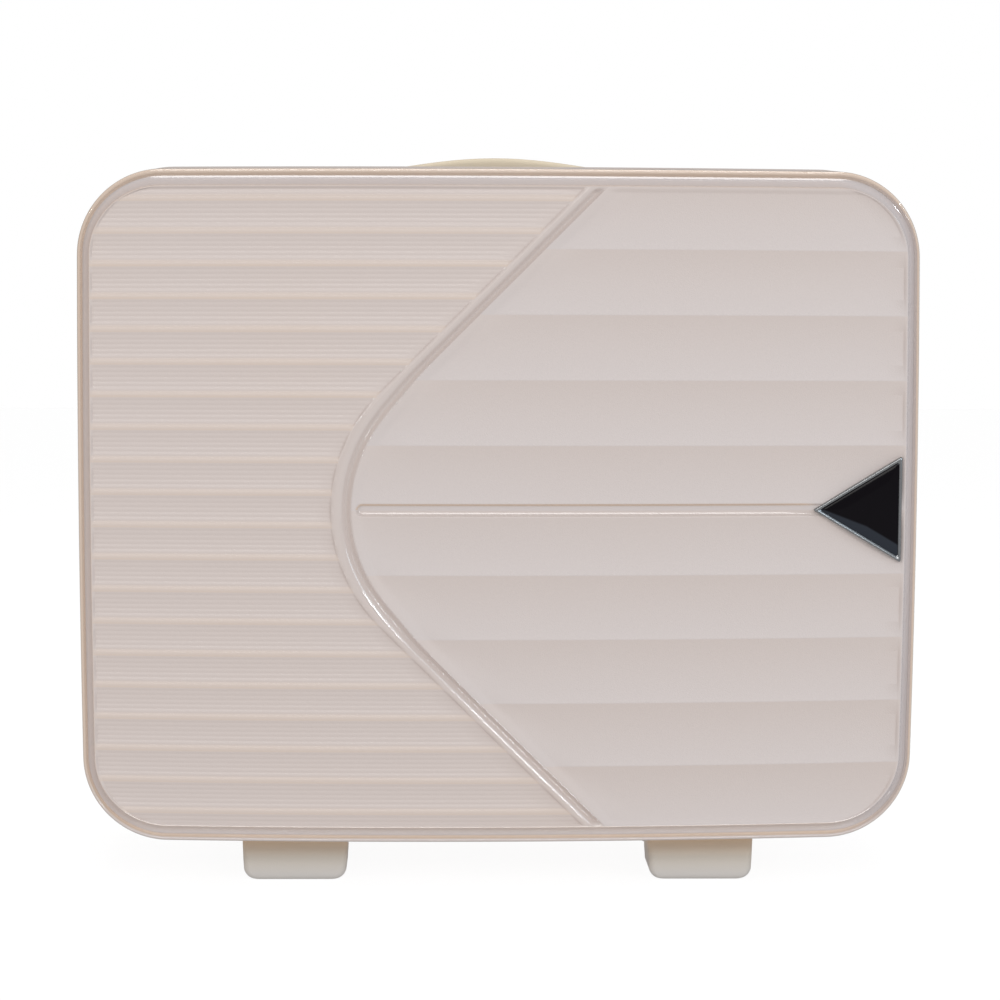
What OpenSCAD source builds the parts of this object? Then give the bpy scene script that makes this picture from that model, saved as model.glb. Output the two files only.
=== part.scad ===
// Hard organizer case: two fluted shells zipped all round, four feet, a sprung carry handle.
// X is the width, Y the depth with the front at -Y, Z the height above the floor.

/* [Case] */
// Width over the shell rims
case_w = 320; // [280:1:380]
// Height of the shells, without the feet
case_h = 258; // [220:1:300]
// Depth of one shell, from the middle of the zip to its outer face
shell_depth = 75; // [65:1:95]
// Corner radius of the outline
corner_r = 34; // [28:1:42]
// How far each shell wall leans in from rim to face
draft = 2.2; // [1:0.1:3]
// Wall thickness of the shells
wall = 2.2; // [1.8:0.1:2.6]

/* [Rim] */
// Distance between the two shell rims
rim_gap = 9; // [8:0.5:12]
// Thickness of the rim bead that the zip tape is sewn to
rim_t = 4.5; // [4.2:0.1:5.5]
// Width of the rim bead along the depth
rim_bead = 8; // [6:0.5:12]

/* [Border] */
// Radius of the rolled edge round the face
roll_r = 1.2; // [1:0.1:1.6]
// Depth of the cove below the face
cove_d = 2.7; // [2.4:0.1:3]
// Width of the cove between its steep wall and the panel lip
cove_w = 3.2; // [2.6:0.1:4.5]
// Width of the flat lip round each fluted panel
lip_w = 0.5; // [0.4:0.1:1]

/* [Flutes] */
// Pitch of the wide flutes right of the arrow
flute_pitch = 24.3; // [20:0.1:28]
// Depth of the wide flutes
flute_d = 1.5; // [1:0.1:1.6]
// Pitch of the narrow flutes left of the arrow
rib_pitch = 12.15; // [10:0.05:14]
// Depth of the narrow flutes
rib_d = 0.9; // [0.6:0.1:1.2]
// Sink of the flute crests below the lip
crest_sink = 0.15; // [0.1:0.05:0.3]

/* [Arrow] */
// Distance of the middle of the arrow's round from the middle of the case
arrow_x = 2; // [0:0.5:12]
// Radius of the arrow's rounded point, outside its land
arrow_r = 60; // [50:1:70]
// Width of the smooth land beside the arrow groove
land_w = 3.5; // [2:0.1:5]
// Width of the arrow groove
groove_w = 3.7; // [2.5:0.1:5]
// Depth of the arrow groove
groove_d = 1.6; // [1:0.1:1.8]
// Width of the straight groove from the arrow's point to the badge
spine_w = 5; // [3:0.1:7]
// Depth of the straight groove
spine_d = 1.7; // [1.6:0.05:1.8]

/* [Badge] */
// Length of the badge from its tip to its base
badge_l = 34.6; // [28:0.1:40]
// Height of the badge along its base
badge_h = 41; // [34:1:48]
// Width of the bright frame round the badge
badge_rim = 1.5; // [1:0.1:2.5]
// How far the badge frame stands out of the panel
badge_proud = 1.2; // [0.8:0.1:1.6]

/* [Feet] */
// Height of the feet
foot_h = 16; // [10:1:22]
// Width of a foot at its bottom
foot_w = 40; // [30:1:50]
// Length of a foot along the depth
foot_l = 30; // [20:1:34]
// Distance of the feet from the middle of the zip
foot_y = 26; // [24:1:32]
// Distance between the middles of the two feet of a shell
foot_span = 155; // [120:1:190]
// Rounding of a foot's lower corners
foot_r = 4; // [2:0.5:6]

/* [Zip] */
// Width of one row of zip teeth
tooth_w = 2.3; // [2:0.1:3]
// Height of the zip teeth
tooth_t = 2; // [1.8:0.1:2.2]
// Thickness of the zip tape
tape_t = 0.9; // [0.6:0.1:1.1]
// Open distance between the two rows of teeth, where the slider post runs
tooth_gap = 1.4; // [1.2:0.1:2]
// Length of the welt hinge below, between the zip's ends
hinge_l = 200; // [160:5:220]
// Height of the hinge's axis above the underside of the shells
hinge_up = 3.3; // [3:0.1:3.6]
// Length of a zip slider
slider_l = 12; // [10:0.5:16]
// Length of a slider's pull tab
pull_l = 24; // [18:1:34]

/* [Handle] */
// Distance between the two handle pins
pin_span = 108; // [96:1:120]
// Radius of the handle pins
pin_r = 4; // [3:0.5:4.5]
// Distance of the handle from the middle of the zip
handle_y = 38; // [34:1:42]
// Width of the handle grip
grip_w = 26; // [20:1:28]
// Height of the grip's middle above the rims
grip_rise = 4.2; // [3:0.1:7]
// Thickness of the grip
grip_t = 4.6; // [4.2:0.1:6]
// Depth of the recess that the handle lies in
recess_d = 8; // [7:0.5:10]
// How far the handle lifts
handle_travel = 12; // [8:1:14]

/* [Inside] */
// Thickness of the linings
lining_t = 1; // [0.6:0.1:1.5]
// Room between a lining and its shell
lining_gap = 0.3; // [0.2:0.1:0.6]
// Width of the elastic straps
band_w = 25; // [15:1:30]
// Thickness of the elastic straps
band_t = 1.4; // [1:0.1:2]

/* [Hidden] */
$fn = 96;
eps = 0.01;
through = 30;
step = 6;
steep_w = 0.6;
roll_low = 1;
dome_t = 0.3;
lift = 0.3;
plate_cover = 1.2;
rivet_head = 0.8;
badge_seat = 2;
spine_inset = 2;
bracket_w = 26;
bracket_l = 32;
bracket_t = 2.4;
half_w = case_w / 2;
half_h = case_h / 2;
mid_z = foot_h + half_h;
top_z = foot_h + case_h;
rim_y = rim_gap / 2;
bead_y = rim_y + rim_bead;
roll_y = shell_depth - roll_low - roll_r;
plate_t = cove_d + wall - 0.5;
roll_u = draft + roll_r;
cove_u = roll_u + roll_r + steep_w;
lip_u = cove_u + cove_w - steep_w;
panel_u = lip_u + lip_w;
inner_y = shell_depth - plate_t;
badge_x = half_w - panel_u;
chamfer = 4;
lean = draft / (roll_y - bead_y);
draft_angle = atan(lean);
front_reach = shell_depth + badge_proud + dome_t;
back_reach = shell_depth + lift + band_t + plate_cover + rivet_head;
mid_y = (front_reach - back_reach) / 2;

// Feet and their screws
screw_pitch = foot_l / 2;
screw_r = 1.5;
screw_head_z = foot_h / 2;
screw_head_t = 2.2;
foot_flare = 0.8;

// Zip
tape_end = hinge_l / 2 + 6;
teeth_end = half_w - corner_r + 8;
stop_l = 3.6;
tape_u = rim_t;
teeth_u = rim_t - tooth_t;
plate_half = rim_y - 0.3;
outer_plate_t = 0.6;
inner_plate_t = 0.8;
slider_gap = 0.2;
slider_x = 0.3;
slider_taper = 0.8;
ear_y = 2.4;
ear_t = 1;
ear_l = 2.4;
pull_x = slider_l - 2.3;
pull_z = top_z - 0.8;
pull_t = 1;
pull_pin_r = 0.45;
tab_r = 3;
tab_l = 9;

// Hinge
cord_r = 1.5;
loop_r = 2.4;
loops = 5;
hinge_z = foot_h + hinge_up;
loop_l = hinge_l / loops;
loop_gap = 0.3;

// Handle, its recess, brackets and housings
handle_z = top_z - lean_at(handle_y);
floor_z = handle_z - recess_d;
recess_x = pin_span / 2 + bracket_w / 2 + 5;
recess_y = bracket_l / 2 + 1.5;
recess_r = 9;
pocket_r = pin_r + 2.5;
bracket_screw = 11;
bracket_screw_r = 1.5;
bracket_r = 4;
head_t = 1.4;
core_t = 2;
core_w = 12;
skin_t = 1.3;
grip_half = pin_span / 2 + pin_r + 8;
grip_end_r = 9;
grip_edge_r = 1.9;
core_half = pin_span / 2 + pin_r + 2;
grip_low = floor_z + bracket_t + 0.4;
arch_rise = top_z + grip_rise - grip_low - grip_t;
housing_t = 1.6;
housing_w = 20;
housing_top = floor_z - wall;
spring_top = housing_top - housing_t;
spring_l = handle_travel + 5;
washer_t = 2;
fit_gap = 0.05;
housing_h = housing_t * 2 + spring_l + washer_t + 1.5;

// Luggage strap and its plates
strap_w = 45;
plate_h = 14;
plate_side = 8;
plate_r = 3;
strap_end = half_h - panel_u - 18;
rivet_r = 1.6;

// Packing straps, their buckle and the pocket
band_y = bead_y + 4;
band_x = half_w - wall - lining_gap - lining_t - 0.6;
buckle_l = 18;
buckle_t = 6;
buckle_side = 2;
buckle_seam = 12;
prong_t = 2.4;
prong_w = 9.2;
prong_end = 7.6;
pocket_top = mid_z + 5;
pocket_t = 1.2;

shell_color = [0.82, 0.76, 0.73];
cream_color = [0.80, 0.76, 0.68];
fabric_color = [0.62, 0.56, 0.52];
metal_color = [0.75, 0.75, 0.76];
dark_color = [0.05, 0.05, 0.06];

// How far the outer wall has leaned in at distance y from the middle of the zip
function lean_at(y) = lean * max(0, y - bead_y);

// Points of an arc about c, from angle a to angle b in n steps
function arc(c, r, a, b, n = 8) =
    [for (i = [0:n]) let (t = a + (b - a) * i / n) [c[0] + r * cos(t), c[1] + r * sin(t)]];

// Outline of a rounded rectangle of half sizes a and b
function round_rect(a, b, r, n = 8) = concat(
    arc([a - r, b - r], r, 0, 90, n), arc([r - a, b - r], r, 90, 180, n),
    arc([r - a, r - b], r, 180, 270, n), arc([a - r, r - b], r, 270, 360, n));

// A profile of inward distance and depth, carried once round the rounded outline of the case
module around() {
    run_w = half_w - corner_r;
    run_h = half_h - corner_r;
    for (k = [0:3]) {
        side = k % 2 == 0 ? run_w : run_h;
        far = k % 2 == 0 ? run_h : run_w;
        rotate([0, 0, 90 * k]) {
            translate([side, far, 0])
                rotate_extrude(angle = 90)
                    translate([corner_r, 0]) mirror([1, 0]) children();
            translate([side + corner_r, far, 0])
                rotate([90, 0, 0])
                    linear_extrude(height = 2 * far) mirror([1, 0]) children();
        }
    }
}

// Puts the middle of the zip where the whole case, badge and strap included, is centred in depth
module centred() {
    translate([0, mid_y, 0]) children();
}

// Turns a piece drawn face-up, with its depth along +Z, into the front half or the back half
module to_front() {
    translate([0, 0, mid_z]) rotate([90, 0, 0]) children();
}
module to_back() {
    rotate([0, 0, 180]) to_front() children();
}

// Wall profile of a shell: rim bead, leaning wall, rolled edge, cove, panel lip and face
module wall_profile() {
    cove_n = 6;
    polygon(concat(
        [[0, rim_y], [0, bead_y]],
        arc([roll_u, roll_y], roll_r, 180, 10, 10),
        [for (i = [0:2])
            [cove_u - steep_w * (2.5 - i) / 3, shell_depth - cove_d + 0.06 * pow(2 - i, 2)]],
        [for (i = [1:cove_n])
            [cove_u + (lip_u - cove_u) * i / cove_n,
             shell_depth - cove_d + (cove_d - 0.2) * pow(i / cove_n, 2)]],
        [[lip_u + 0.4, shell_depth], [corner_r, shell_depth], [corner_r, inner_y],
         [draft + wall + chamfer, inner_y], [draft + wall, inner_y - chamfer],
         [wall, bead_y + 1.5], [rim_t, bead_y], [rim_t, rim_y]]));
}

// Plain shell before its flutes are cut
module shell_blank() {
    around() wall_profile();
    translate([corner_r - half_w, corner_r - half_h, inner_y])
        cube([case_w - 2 * corner_r, case_h - 2 * corner_r, plate_t]);
}

// Outline to the right of the arrow, whose rounded point has radius r
module arrow_side(r) {
    c = [-arrow_x, 0];
    far = case_w;
    polygon(concat(
        arc(c, r, 135, 225, 20),
        [[c[0] - r * cos(45) + far, -r * sin(45) - far],
         [c[0] - r * cos(45) + far, r * sin(45) + far]]));
}

module panel_outline(inset) {
    polygon(round_rect(half_w - inset, half_h - inset, corner_r - inset));
}

// Row of flute cylinders along X, n above and n below the middle, moved by shift pitches
module flute_row(pitch, d, n, shift) {
    r = (pitch * pitch / 4 + d * d) / (2 * d);
    for (i = [-n:n])
        translate([0, (i + shift) * pitch, shell_depth - crest_sink + r - d])
            rotate([0, 90, 0])
                cylinder(h = case_w, r = r, center = true);
}

// Everything that is cut into the face of a shell
module face_cuts() {
    groove_r = arrow_r - land_w;
    panel_r = groove_r - groove_w;
    deep = 3 * plate_t;
    intersection() {
        flute_row(flute_pitch, flute_d, ceil(half_h / flute_pitch), 0.5);
        translate([0, 0, shell_depth - deep / 2]) linear_extrude(height = deep)
            intersection() {
                panel_outline(panel_u);
                arrow_side(panel_r);
            }
    }
    intersection() {
        flute_row(rib_pitch, rib_d, ceil(half_h / rib_pitch), 0);
        translate([0, 0, shell_depth - deep / 2]) linear_extrude(height = deep)
            difference() {
                panel_outline(panel_u);
                arrow_side(arrow_r);
            }
    }
    translate([0, 0, shell_depth - groove_d]) linear_extrude(height = deep)
        intersection() {
            panel_outline(lip_u);
            difference() {
                arrow_side(groove_r);
                arrow_side(panel_r);
            }
        }
}

// Straight groove, from spine_inset inside the arrow to as far past the tip of the badge
module spine_cut(tip) {
    start = -arrow_x - (arrow_r - land_w - groove_w) + spine_inset;
    translate([0, 0, shell_depth - spine_d]) linear_extrude(height = 2 * spine_d)
        polygon(concat(
            arc([start + spine_w / 2, 0], spine_w / 2, 90, 270, 8),
            [[tip, -spine_w / 2], [tip, spine_w / 2]]));
}

// Shallow flutes down the left wall, at the pitch of the narrow ones
module side_cuts() {
    d = 0.8;
    r = (rib_pitch * rib_pitch / 4 + d * d) / (2 * d);
    n = floor((half_h - corner_r) / rib_pitch) - 1;
    long = roll_y - bead_y - 2 * step;
    for (i = [-n:n])
        translate([-half_w + lean_at(bead_y + step), i * rib_pitch, bead_y + step])
            rotate([0, draft_angle, 0])
                translate([d - r, 0, 0]) cylinder(h = long, r = r);
}

// Badge triangle, grown outwards by g
module badge_outline(g) {
    slope = badge_h / 2 / badge_l;
    k = sqrt(1 + slope * slope) / slope;
    polygon([
        [badge_x + g, -badge_h / 2 - g * (k * slope + slope)],
        [badge_x + g, badge_h / 2 + g * (k * slope + slope)],
        [badge_x - badge_l - g * k, 0]]);
}

module shell_half() {
    difference() {
        shell_blank();
        face_cuts();
        side_cuts();
    }
}

// Foot screws: two for each foot, in line along the depth
module at_foot_screws() {
    for (sx = [-1, 1], sy = [-1, 1])
        translate([sx * foot_span / 2, foot_y + foot_l / 2 + sy * screw_pitch / 2, 0])
            children();
}

module front_shell() color(shell_color) difference() {
    to_front() difference() {
        shell_half();
        spine_cut(badge_x - badge_l + spine_inset);
        translate([0, 0, shell_depth - badge_seat]) linear_extrude(height = 2 * badge_seat)
            badge_outline(0);
    }
    mirror([0, 1, 0]) at_foot_screws() cylinder(h = 3 * foot_h, r = screw_r);
    mirror([0, 1, 0]) hinge_notch();
}

// Recess in the top wall that holds the handle, with its own floor and walls
module recess_form(grow, low, high) {
    translate([0, handle_y, low]) linear_extrude(height = high - low)
        polygon(round_rect(recess_x + grow, recess_y + grow, recess_r + grow));
}

module at_pins() {
    for (sx = [-1, 1]) translate([sx * pin_span / 2, handle_y, 0]) children();
}

// Screws of the handle brackets, either side of each pin along the depth
module at_bracket_screws() {
    at_pins() for (sy = [-1, 1]) translate([0, sy * bracket_screw, 0]) children();
}

module back_shell() color(shell_color) difference() {
    union() {
        to_back() shell_half();
        recess_form(wall, floor_z - wall, handle_z - wall / 2);
    }
    recess_form(0, floor_z, top_z + 1);
    at_pins() translate([0, 0, floor_z - 2 * wall]) cylinder(h = 4 * wall, r = pocket_r);
    at_bracket_screws() translate([0, 0, floor_z - 2 * wall]) cylinder(h = 4 * wall, r = bracket_screw_r);
    at_foot_screws() cylinder(h = 3 * foot_h, r = screw_r);
    hinge_notch();
    for (sz = [-1, 1]) at_strap_plate(sz) at_rivets() cylinder(h = through, r = rivet_r, center = true);
}

// Pair of feet whose tops follow the leaning underside of the shell
module foot_pair() {
    far = foot_y + foot_l;
    difference() {
        for (sx = [-1, 1]) translate([sx * foot_span / 2, 0, 0]) intersection() {
            translate([0, far, foot_h]) rotate([90, 0, 0]) linear_extrude(height = foot_l)
                polygon(concat(
                    [[foot_w / 2 + foot_flare, foot_h], [-foot_w / 2 - foot_flare, foot_h]],
                    arc([foot_r - foot_w / 2, foot_r - foot_h], foot_r, 180, 270, 6),
                    arc([foot_w / 2 - foot_r, foot_r - foot_h], foot_r, 270, 360, 6)));
            translate([-foot_w, 0, 0]) rotate([90, 0, 90]) linear_extrude(height = 2 * foot_w)
                polygon(concat(
                    arc([foot_y + foot_r / 2, foot_r / 2], foot_r / 2, 180, 270, 4),
                    arc([far - foot_r / 2, foot_r / 2], foot_r / 2, 270, 360, 4),
                    [[far, foot_h + lean_at(far)], [foot_y, foot_h + lean_at(foot_y)]]));
        }
        at_foot_screws() {
            cylinder(h = 2 * foot_h, r = screw_r);
            cylinder(h = screw_head_z, r = screw_r * 2.2);
        }
    }
}

module rear_feet() color(cream_color) foot_pair();
module front_feet() color(cream_color) mirror([0, 1, 0]) foot_pair();

// Countersunk foot screws, from inside the foot's counterbore up through the shell
module foot_screws() {
    at_foot_screws() {
        translate([0, 0, screw_head_z - screw_head_t]) cylinder(h = screw_head_t, r = screw_r * 2);
        translate([0, 0, screw_head_z - 1])
            cylinder(h = foot_h - screw_head_z + 1 + lean_at(foot_y) + wall, r = screw_r);
    }
}
module rear_foot_screws() color(metal_color) foot_screws();
module front_foot_screws() color(metal_color) mirror([0, 1, 0]) foot_screws();

// Zip tapes and teeth run round the case, the tapes to the hinge and the teeth to the lower corners
module zip_strip(u, t, s, w, end) {
    difference() {
        around() translate([u, s]) square([t, w]);
        translate([-end, -half_h - 1, -1]) cube([2 * end, 3 * rim_t, shell_depth]);
    }
}
module tape() zip_strip(tape_u, tape_t, tooth_gap / 2, bead_y - tooth_gap / 2, tape_end);
module teeth() zip_strip(teeth_u, tooth_t, tooth_gap / 2, tooth_w, teeth_end);
module rear_zip_tape() color(fabric_color) to_back() tape();
module front_zip_tape() color(fabric_color) to_front() tape();
module rear_zip_teeth() color(cream_color) to_back() teeth();
module front_zip_teeth() color(cream_color) to_front() teeth();

// Bottom stops, clipped on the rear row of teeth at both ends of the zip
module zip_stops() color(metal_color) to_back() intersection() {
    around() translate([teeth_u, tooth_gap / 2]) square([tooth_t, tooth_w]);
    for (sx = [-1, 1]) translate([sx * (teeth_end - stop_l / 2) - stop_l / 2, -half_h, 0])
        cube([stop_l, 3 * rim_t, bead_y]);
}

// Slider plate: a shield with round corners, narrower where the rows of teeth close
module slider_plate(z, t) {
    r = 1.5;
    narrow = plate_half - slider_taper;
    translate([0, 0, z]) linear_extrude(height = t) polygon(concat(
        arc([slider_l - r, plate_half - r], r, 0, 90, 4), arc([r, narrow - r], r, 90, 180, 4),
        arc([r, r - narrow], r, 180, 270, 4), arc([slider_l - r, r - plate_half], r, 270, 360, 4)));
}

// Zip slider: outer plate, post between the rows of teeth, inner plate, and two ears with a pin
module slider() {
    outer_z = top_z - teeth_u + slider_gap;
    inner_z = top_z - rim_t - tape_t - 0.3;
    slider_plate(outer_z, outer_plate_t);
    slider_plate(inner_z - inner_plate_t, inner_plate_t);
    translate([slider_l / 4, -tooth_gap / 2 + 0.3, inner_z - eps])
        cube([slider_l / 2, tooth_gap - 0.6, outer_z - inner_z + 2 * eps]);
    for (sy = [-1, 1])
        translate([pull_x - ear_l / 2, sy * ear_y - ear_t / 2, outer_z])
            cube([ear_l, ear_t, top_z - outer_z]);
    translate([pull_x, ear_y, pull_z]) rotate([90, 0, 0])
        cylinder(h = 2 * ear_y, r = pull_pin_r);
}
module right_slider() color(metal_color) translate([slider_x, 0, 0]) slider();
module left_slider() color(metal_color) mirror([1, 0, 0]) translate([slider_x, 0, 0]) slider();

// Pull tab with a round eye on the slider's pin, a narrow neck and a round end with a hole
module pull() {
    half = ear_y - ear_t / 2 - 0.3;
    tip = pull_x + pull_l;
    difference() {
        union() {
            translate([pull_x, half, pull_z]) rotate([90, 0, 0]) cylinder(h = 2 * half, r = 0.8);
            translate([0, 0, pull_z - pull_t / 2]) linear_extrude(height = pull_t) polygon(concat(
                [[pull_x, half], [pull_x, -half], [tip - tab_l, -half], [tip - tab_l + 2, -tab_r]],
                arc([tip - tab_r, 0], tab_r, -90, 90, 10),
                [[tip - tab_l + 2, tab_r], [tip - tab_l, half]]));
        }
        translate([pull_x, 2 * half, pull_z]) rotate([90, 0, 0])
            cylinder(h = 4 * half, r = pull_pin_r + fit_gap);
        translate([tip - tab_r, 0, pull_z - pull_t]) cylinder(h = 2 * pull_t, r = tab_r / 2);
    }
}
module right_pull() color(metal_color) translate([slider_x, 0, 0]) pull();
module left_pull() color(metal_color) mirror([1, 0, 0]) translate([slider_x, 0, 0]) pull();

// Welt hinge: a cord on the hinge axis, and two webs sewn inside the rims that loop round it in turn
// Notch inside a rim that takes the web of the hinge
module hinge_notch() {
    translate([-hinge_l / 2 - 0.5, rim_y - 1, hinge_z - tape_t / 2])
        cube([hinge_l + 1, rim_bead + 2.5, rim_t]);
}
module along_hinge() {
    translate([0, 0, hinge_z]) rotate([0, 90, 0]) children();
}
module hinge_cord() color(fabric_color)
    along_hinge() cylinder(h = hinge_l, r = cord_r, center = true);
module hinge_welt(parity) {
    difference() {
        union() {
            translate([-hinge_l / 2, loop_r + 0.4, hinge_z - tape_t / 2])
                cube([hinge_l, bead_y - loop_r - 0.4, tape_t]);
            for (i = [0:loops - 1]) if (i % 2 == parity)
                translate([-hinge_l / 2 + i * loop_l + loop_gap, 0, 0]) {
                    translate([0, 0, hinge_z]) rotate([0, 90, 0])
                        cylinder(h = loop_l - 2 * loop_gap, r = loop_r);
                    translate([0, 1, hinge_z - tape_t / 2]) cube([loop_l - 2 * loop_gap, loop_r, tape_t]);
                }
        }
        along_hinge() cylinder(h = 2 * hinge_l, r = cord_r + fit_gap, center = true);
    }
}
module rear_hinge_welt() color(fabric_color) hinge_welt(0);
module front_hinge_welt() color(fabric_color) mirror([0, 1, 0]) hinge_welt(1);

// Handle: a soft arched grip over a steel core, whose two pins slide in the brackets and housings

// Height of the arch of the grip at distance x from its middle
function arch(x) = arch_rise * pow(cos(90 * x / grip_half), 2);

// Arched bar, seen from the front, from height low above the grip's underside to height high
module arched_bar(half, low, high, w, n = 24) {
    translate([0, handle_y + w / 2, 0]) rotate([90, 0, 0]) linear_extrude(height = w)
        polygon(concat(
            [for (i = [0:n]) let (x = half * (2 * i / n - 1)) [x, grip_low + low + arch(x)]],
            [for (i = [0:n]) let (x = half * (1 - 2 * i / n)) [x, grip_low + high + arch(x)]]));
}
module core_form() {
    arched_bar(core_half, skin_t, skin_t + core_t, core_w);
    low = spring_top - spring_l;
    high = grip_low + skin_t + arch(pin_span / 2) + core_t / 2;
    at_pins() translate([0, 0, low]) cylinder(h = high - low, r = pin_r);
}
module handle_core() color(metal_color) core_form();

// Half the grip's width at distance x from its middle, drawn in over the round ends
function grip_reach(x) = let (over = max(0, abs(x) - grip_half + grip_end_r))
    grip_w / 2 - grip_end_r + sqrt(max(0, grip_end_r * grip_end_r - over * over));

// Grip: round-edged sections along the arch, set closer towards the ends
module grip_loft(n = 28, m = 3) {
    rings = [for (i = [0:n]) let (x = grip_half * sin(180 * i / n - 90))
        [for (p = round_rect(grip_reach(x), grip_t / 2, grip_edge_r, m))
            [x, handle_y + p[0], grip_low + grip_t / 2 + arch(x) + p[1]]]];
    size = len(rings[0]);
    polyhedron(
        points = [for (ring = rings, p = ring) p],
        faces = concat(
            [[for (j = [0:size - 1]) j]],
            [for (i = [0:n - 1], j = [0:size - 1]) let (k = (j + 1) % size)
                [i * size + j, (i + 1) * size + j, (i + 1) * size + k]],
            [for (i = [0:n - 1], j = [0:size - 1]) let (k = (j + 1) % size)
                [i * size + j, (i + 1) * size + k, i * size + k]],
            [[for (j = [0:size - 1]) (n + 1) * size - 1 - j]]));
}
module handle_grip() color(cream_color) difference() {
    grip_loft();
    core_form();
}

// Bracket: a plate on the recess floor with the pin's bore and two sunk screws
module handle_brackets() color(cream_color) difference() {
    at_pins() translate([0, 0, floor_z]) linear_extrude(height = bracket_t)
        polygon(round_rect(bracket_w / 2, bracket_l / 2, bracket_r, 6));
    at_pins() translate([0, 0, floor_z - 1]) cylinder(h = 2 * bracket_t, r = pin_r + fit_gap);
    at_bracket_screws() {
        translate([0, 0, floor_z - 1]) cylinder(h = 2 * bracket_t, r = bracket_screw_r);
        translate([0, 0, floor_z + bracket_t - head_t])
            cylinder(h = 2 * head_t, r = bracket_screw_r * 1.9);
    }
}
// Housing: a cup under the recess floor that guides the pin and holds its spring
module handle_housings() color(dark_color) difference() {
    at_pins() {
        translate([0, 0, housing_top - housing_h]) cylinder(h = housing_h, r = housing_w / 2 - 1);
        translate([0, 0, housing_top - housing_t]) linear_extrude(height = housing_t)
            polygon(round_rect(housing_w / 2, bracket_l / 2 - 1, bracket_r, 6));
    }
    at_pins() {
        translate([0, 0, housing_top - housing_h + housing_t])
            cylinder(h = housing_h - 2 * housing_t, r = housing_w / 2 - 2.5);
        translate([0, 0, housing_top - housing_t - 1]) cylinder(h = 2 * housing_t, r = pin_r + fit_gap);
    }
    at_bracket_screws() translate([0, 0, housing_top - 10]) cylinder(h = 20, r = bracket_screw_r - 0.3);
}
module handle_springs() color(metal_color)
    at_pins() translate([0, 0, spring_top - spring_l + 0.1]) difference() {
        cylinder(h = spring_l - 0.2, r = pin_r + 2.2);
        translate([0, 0, -1]) cylinder(h = spring_l + 2, r = pin_r + 0.6);
    }
module handle_washers() color(metal_color)
    at_pins() translate([0, 0, spring_top - spring_l - washer_t]) cylinder(h = washer_t, r = pin_r + 2.4);
module handle_screws() color(metal_color)
    at_bracket_screws() {
        translate([0, 0, floor_z + bracket_t - head_t])
            cylinder(h = head_t - 0.1, r = bracket_screw_r * 1.8);
        translate([0, 0, housing_top - housing_t - 2])
            cylinder(h = bracket_t + wall + housing_t + 2 - head_t / 2, r = bracket_screw_r - 0.3);
    }

// Badge: a bright triangular frame in a seat in the panel, with a black domed insert and no lettering
module badge_frame() color(metal_color) to_front()
    translate([0, 0, shell_depth - badge_seat]) linear_extrude(height = badge_seat + badge_proud)
        difference() {
            badge_outline(-0.05);
            badge_outline(-badge_rim);
        }
module badge_insert() color(dark_color) to_front()
    translate([0, 0, shell_depth - badge_seat]) {
        linear_extrude(height = badge_seat + badge_proud - 0.3) badge_outline(-badge_rim);
        translate([0, 0, badge_seat + badge_proud - 0.3 - eps])
            linear_extrude(height = 0.3 + dome_t + eps) badge_outline(-badge_rim - 0.8);
    }

// Elastic strap across the back, held at each end by a riveted plate
module at_strap_plate(sz) {
    translate([0, shell_depth, mid_z + sz * strap_end]) rotate([-90, 0, 0]) children();
}
module at_rivets() {
    for (sx = [-1, 1]) translate([sx * (strap_w + plate_side) / 2, 0, 0]) children();
}
module luggage_strap() color(fabric_color)
    translate([-strap_w / 2, shell_depth + lift / 2, mid_z - strap_end - plate_h / 2])
        cube([strap_w, band_t, 2 * strap_end + plate_h]);
module strap_plates() color(metal_color) for (sz = [-1, 1]) at_strap_plate(sz) difference() {
    linear_extrude(height = lift + band_t + plate_cover)
        polygon(round_rect(strap_w / 2 + plate_side, plate_h / 2, plate_r, 6));
    translate([-strap_w / 2 - lift, -plate_h, -1])
        cube([strap_w + 2 * lift, 2 * plate_h, 1 + lift + band_t]);
    at_rivets() cylinder(h = through, r = rivet_r, center = true);
}
module strap_rivets() color(metal_color) for (sz = [-1, 1]) at_strap_plate(sz) at_rivets() {
    head = rivet_r * 1.8;
    under = -plate_t - rivet_head;
    over = lift + band_t + plate_cover;
    translate([0, 0, under]) cylinder(h = over - under, r = rivet_r);
    translate([0, 0, over]) cylinder(h = rivet_head, r = head);
    translate([0, 0, under]) cylinder(h = rivet_head, r = head);
}

// Lining: a thin tray of cloth inside each shell
module lining_profile() {
    a = wall + lining_gap;
    b = inner_y - lining_gap;
    y0 = bead_y + 2.2;
    polygon([
        [a + lean_at(y0), y0], [draft + a, b - chamfer], [draft + a + chamfer, b], [corner_r, b],
        [corner_r, b - lining_t], [draft + a + chamfer + 0.4, b - lining_t],
        [draft + a + lining_t, b - chamfer - 0.4], [a + lean_at(y0) + lining_t, y0]]);
}
module lining() {
    around() lining_profile();
    translate([corner_r - half_w, corner_r - half_h, inner_y - lining_gap - lining_t])
        cube([case_w - 2 * corner_r, case_h - 2 * corner_r, lining_t]);
}
module front_lining() color(fabric_color) difference() {
    to_front() lining();
    mirror([0, 1, 0]) at_foot_screws() cylinder(h = 3 * foot_h, r = screw_r * 2.5);
}
module rear_lining() color(fabric_color) difference() {
    to_back() lining();
    at_foot_screws() cylinder(h = 3 * foot_h, r = screw_r * 2.5);
    recess_form(wall + 1, floor_z - 4 * wall, top_z);
    for (sz = [-1, 1]) at_strap_plate(sz) at_rivets() cylinder(h = through, r = rivet_r * 2.4, center = true);
}

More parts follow.
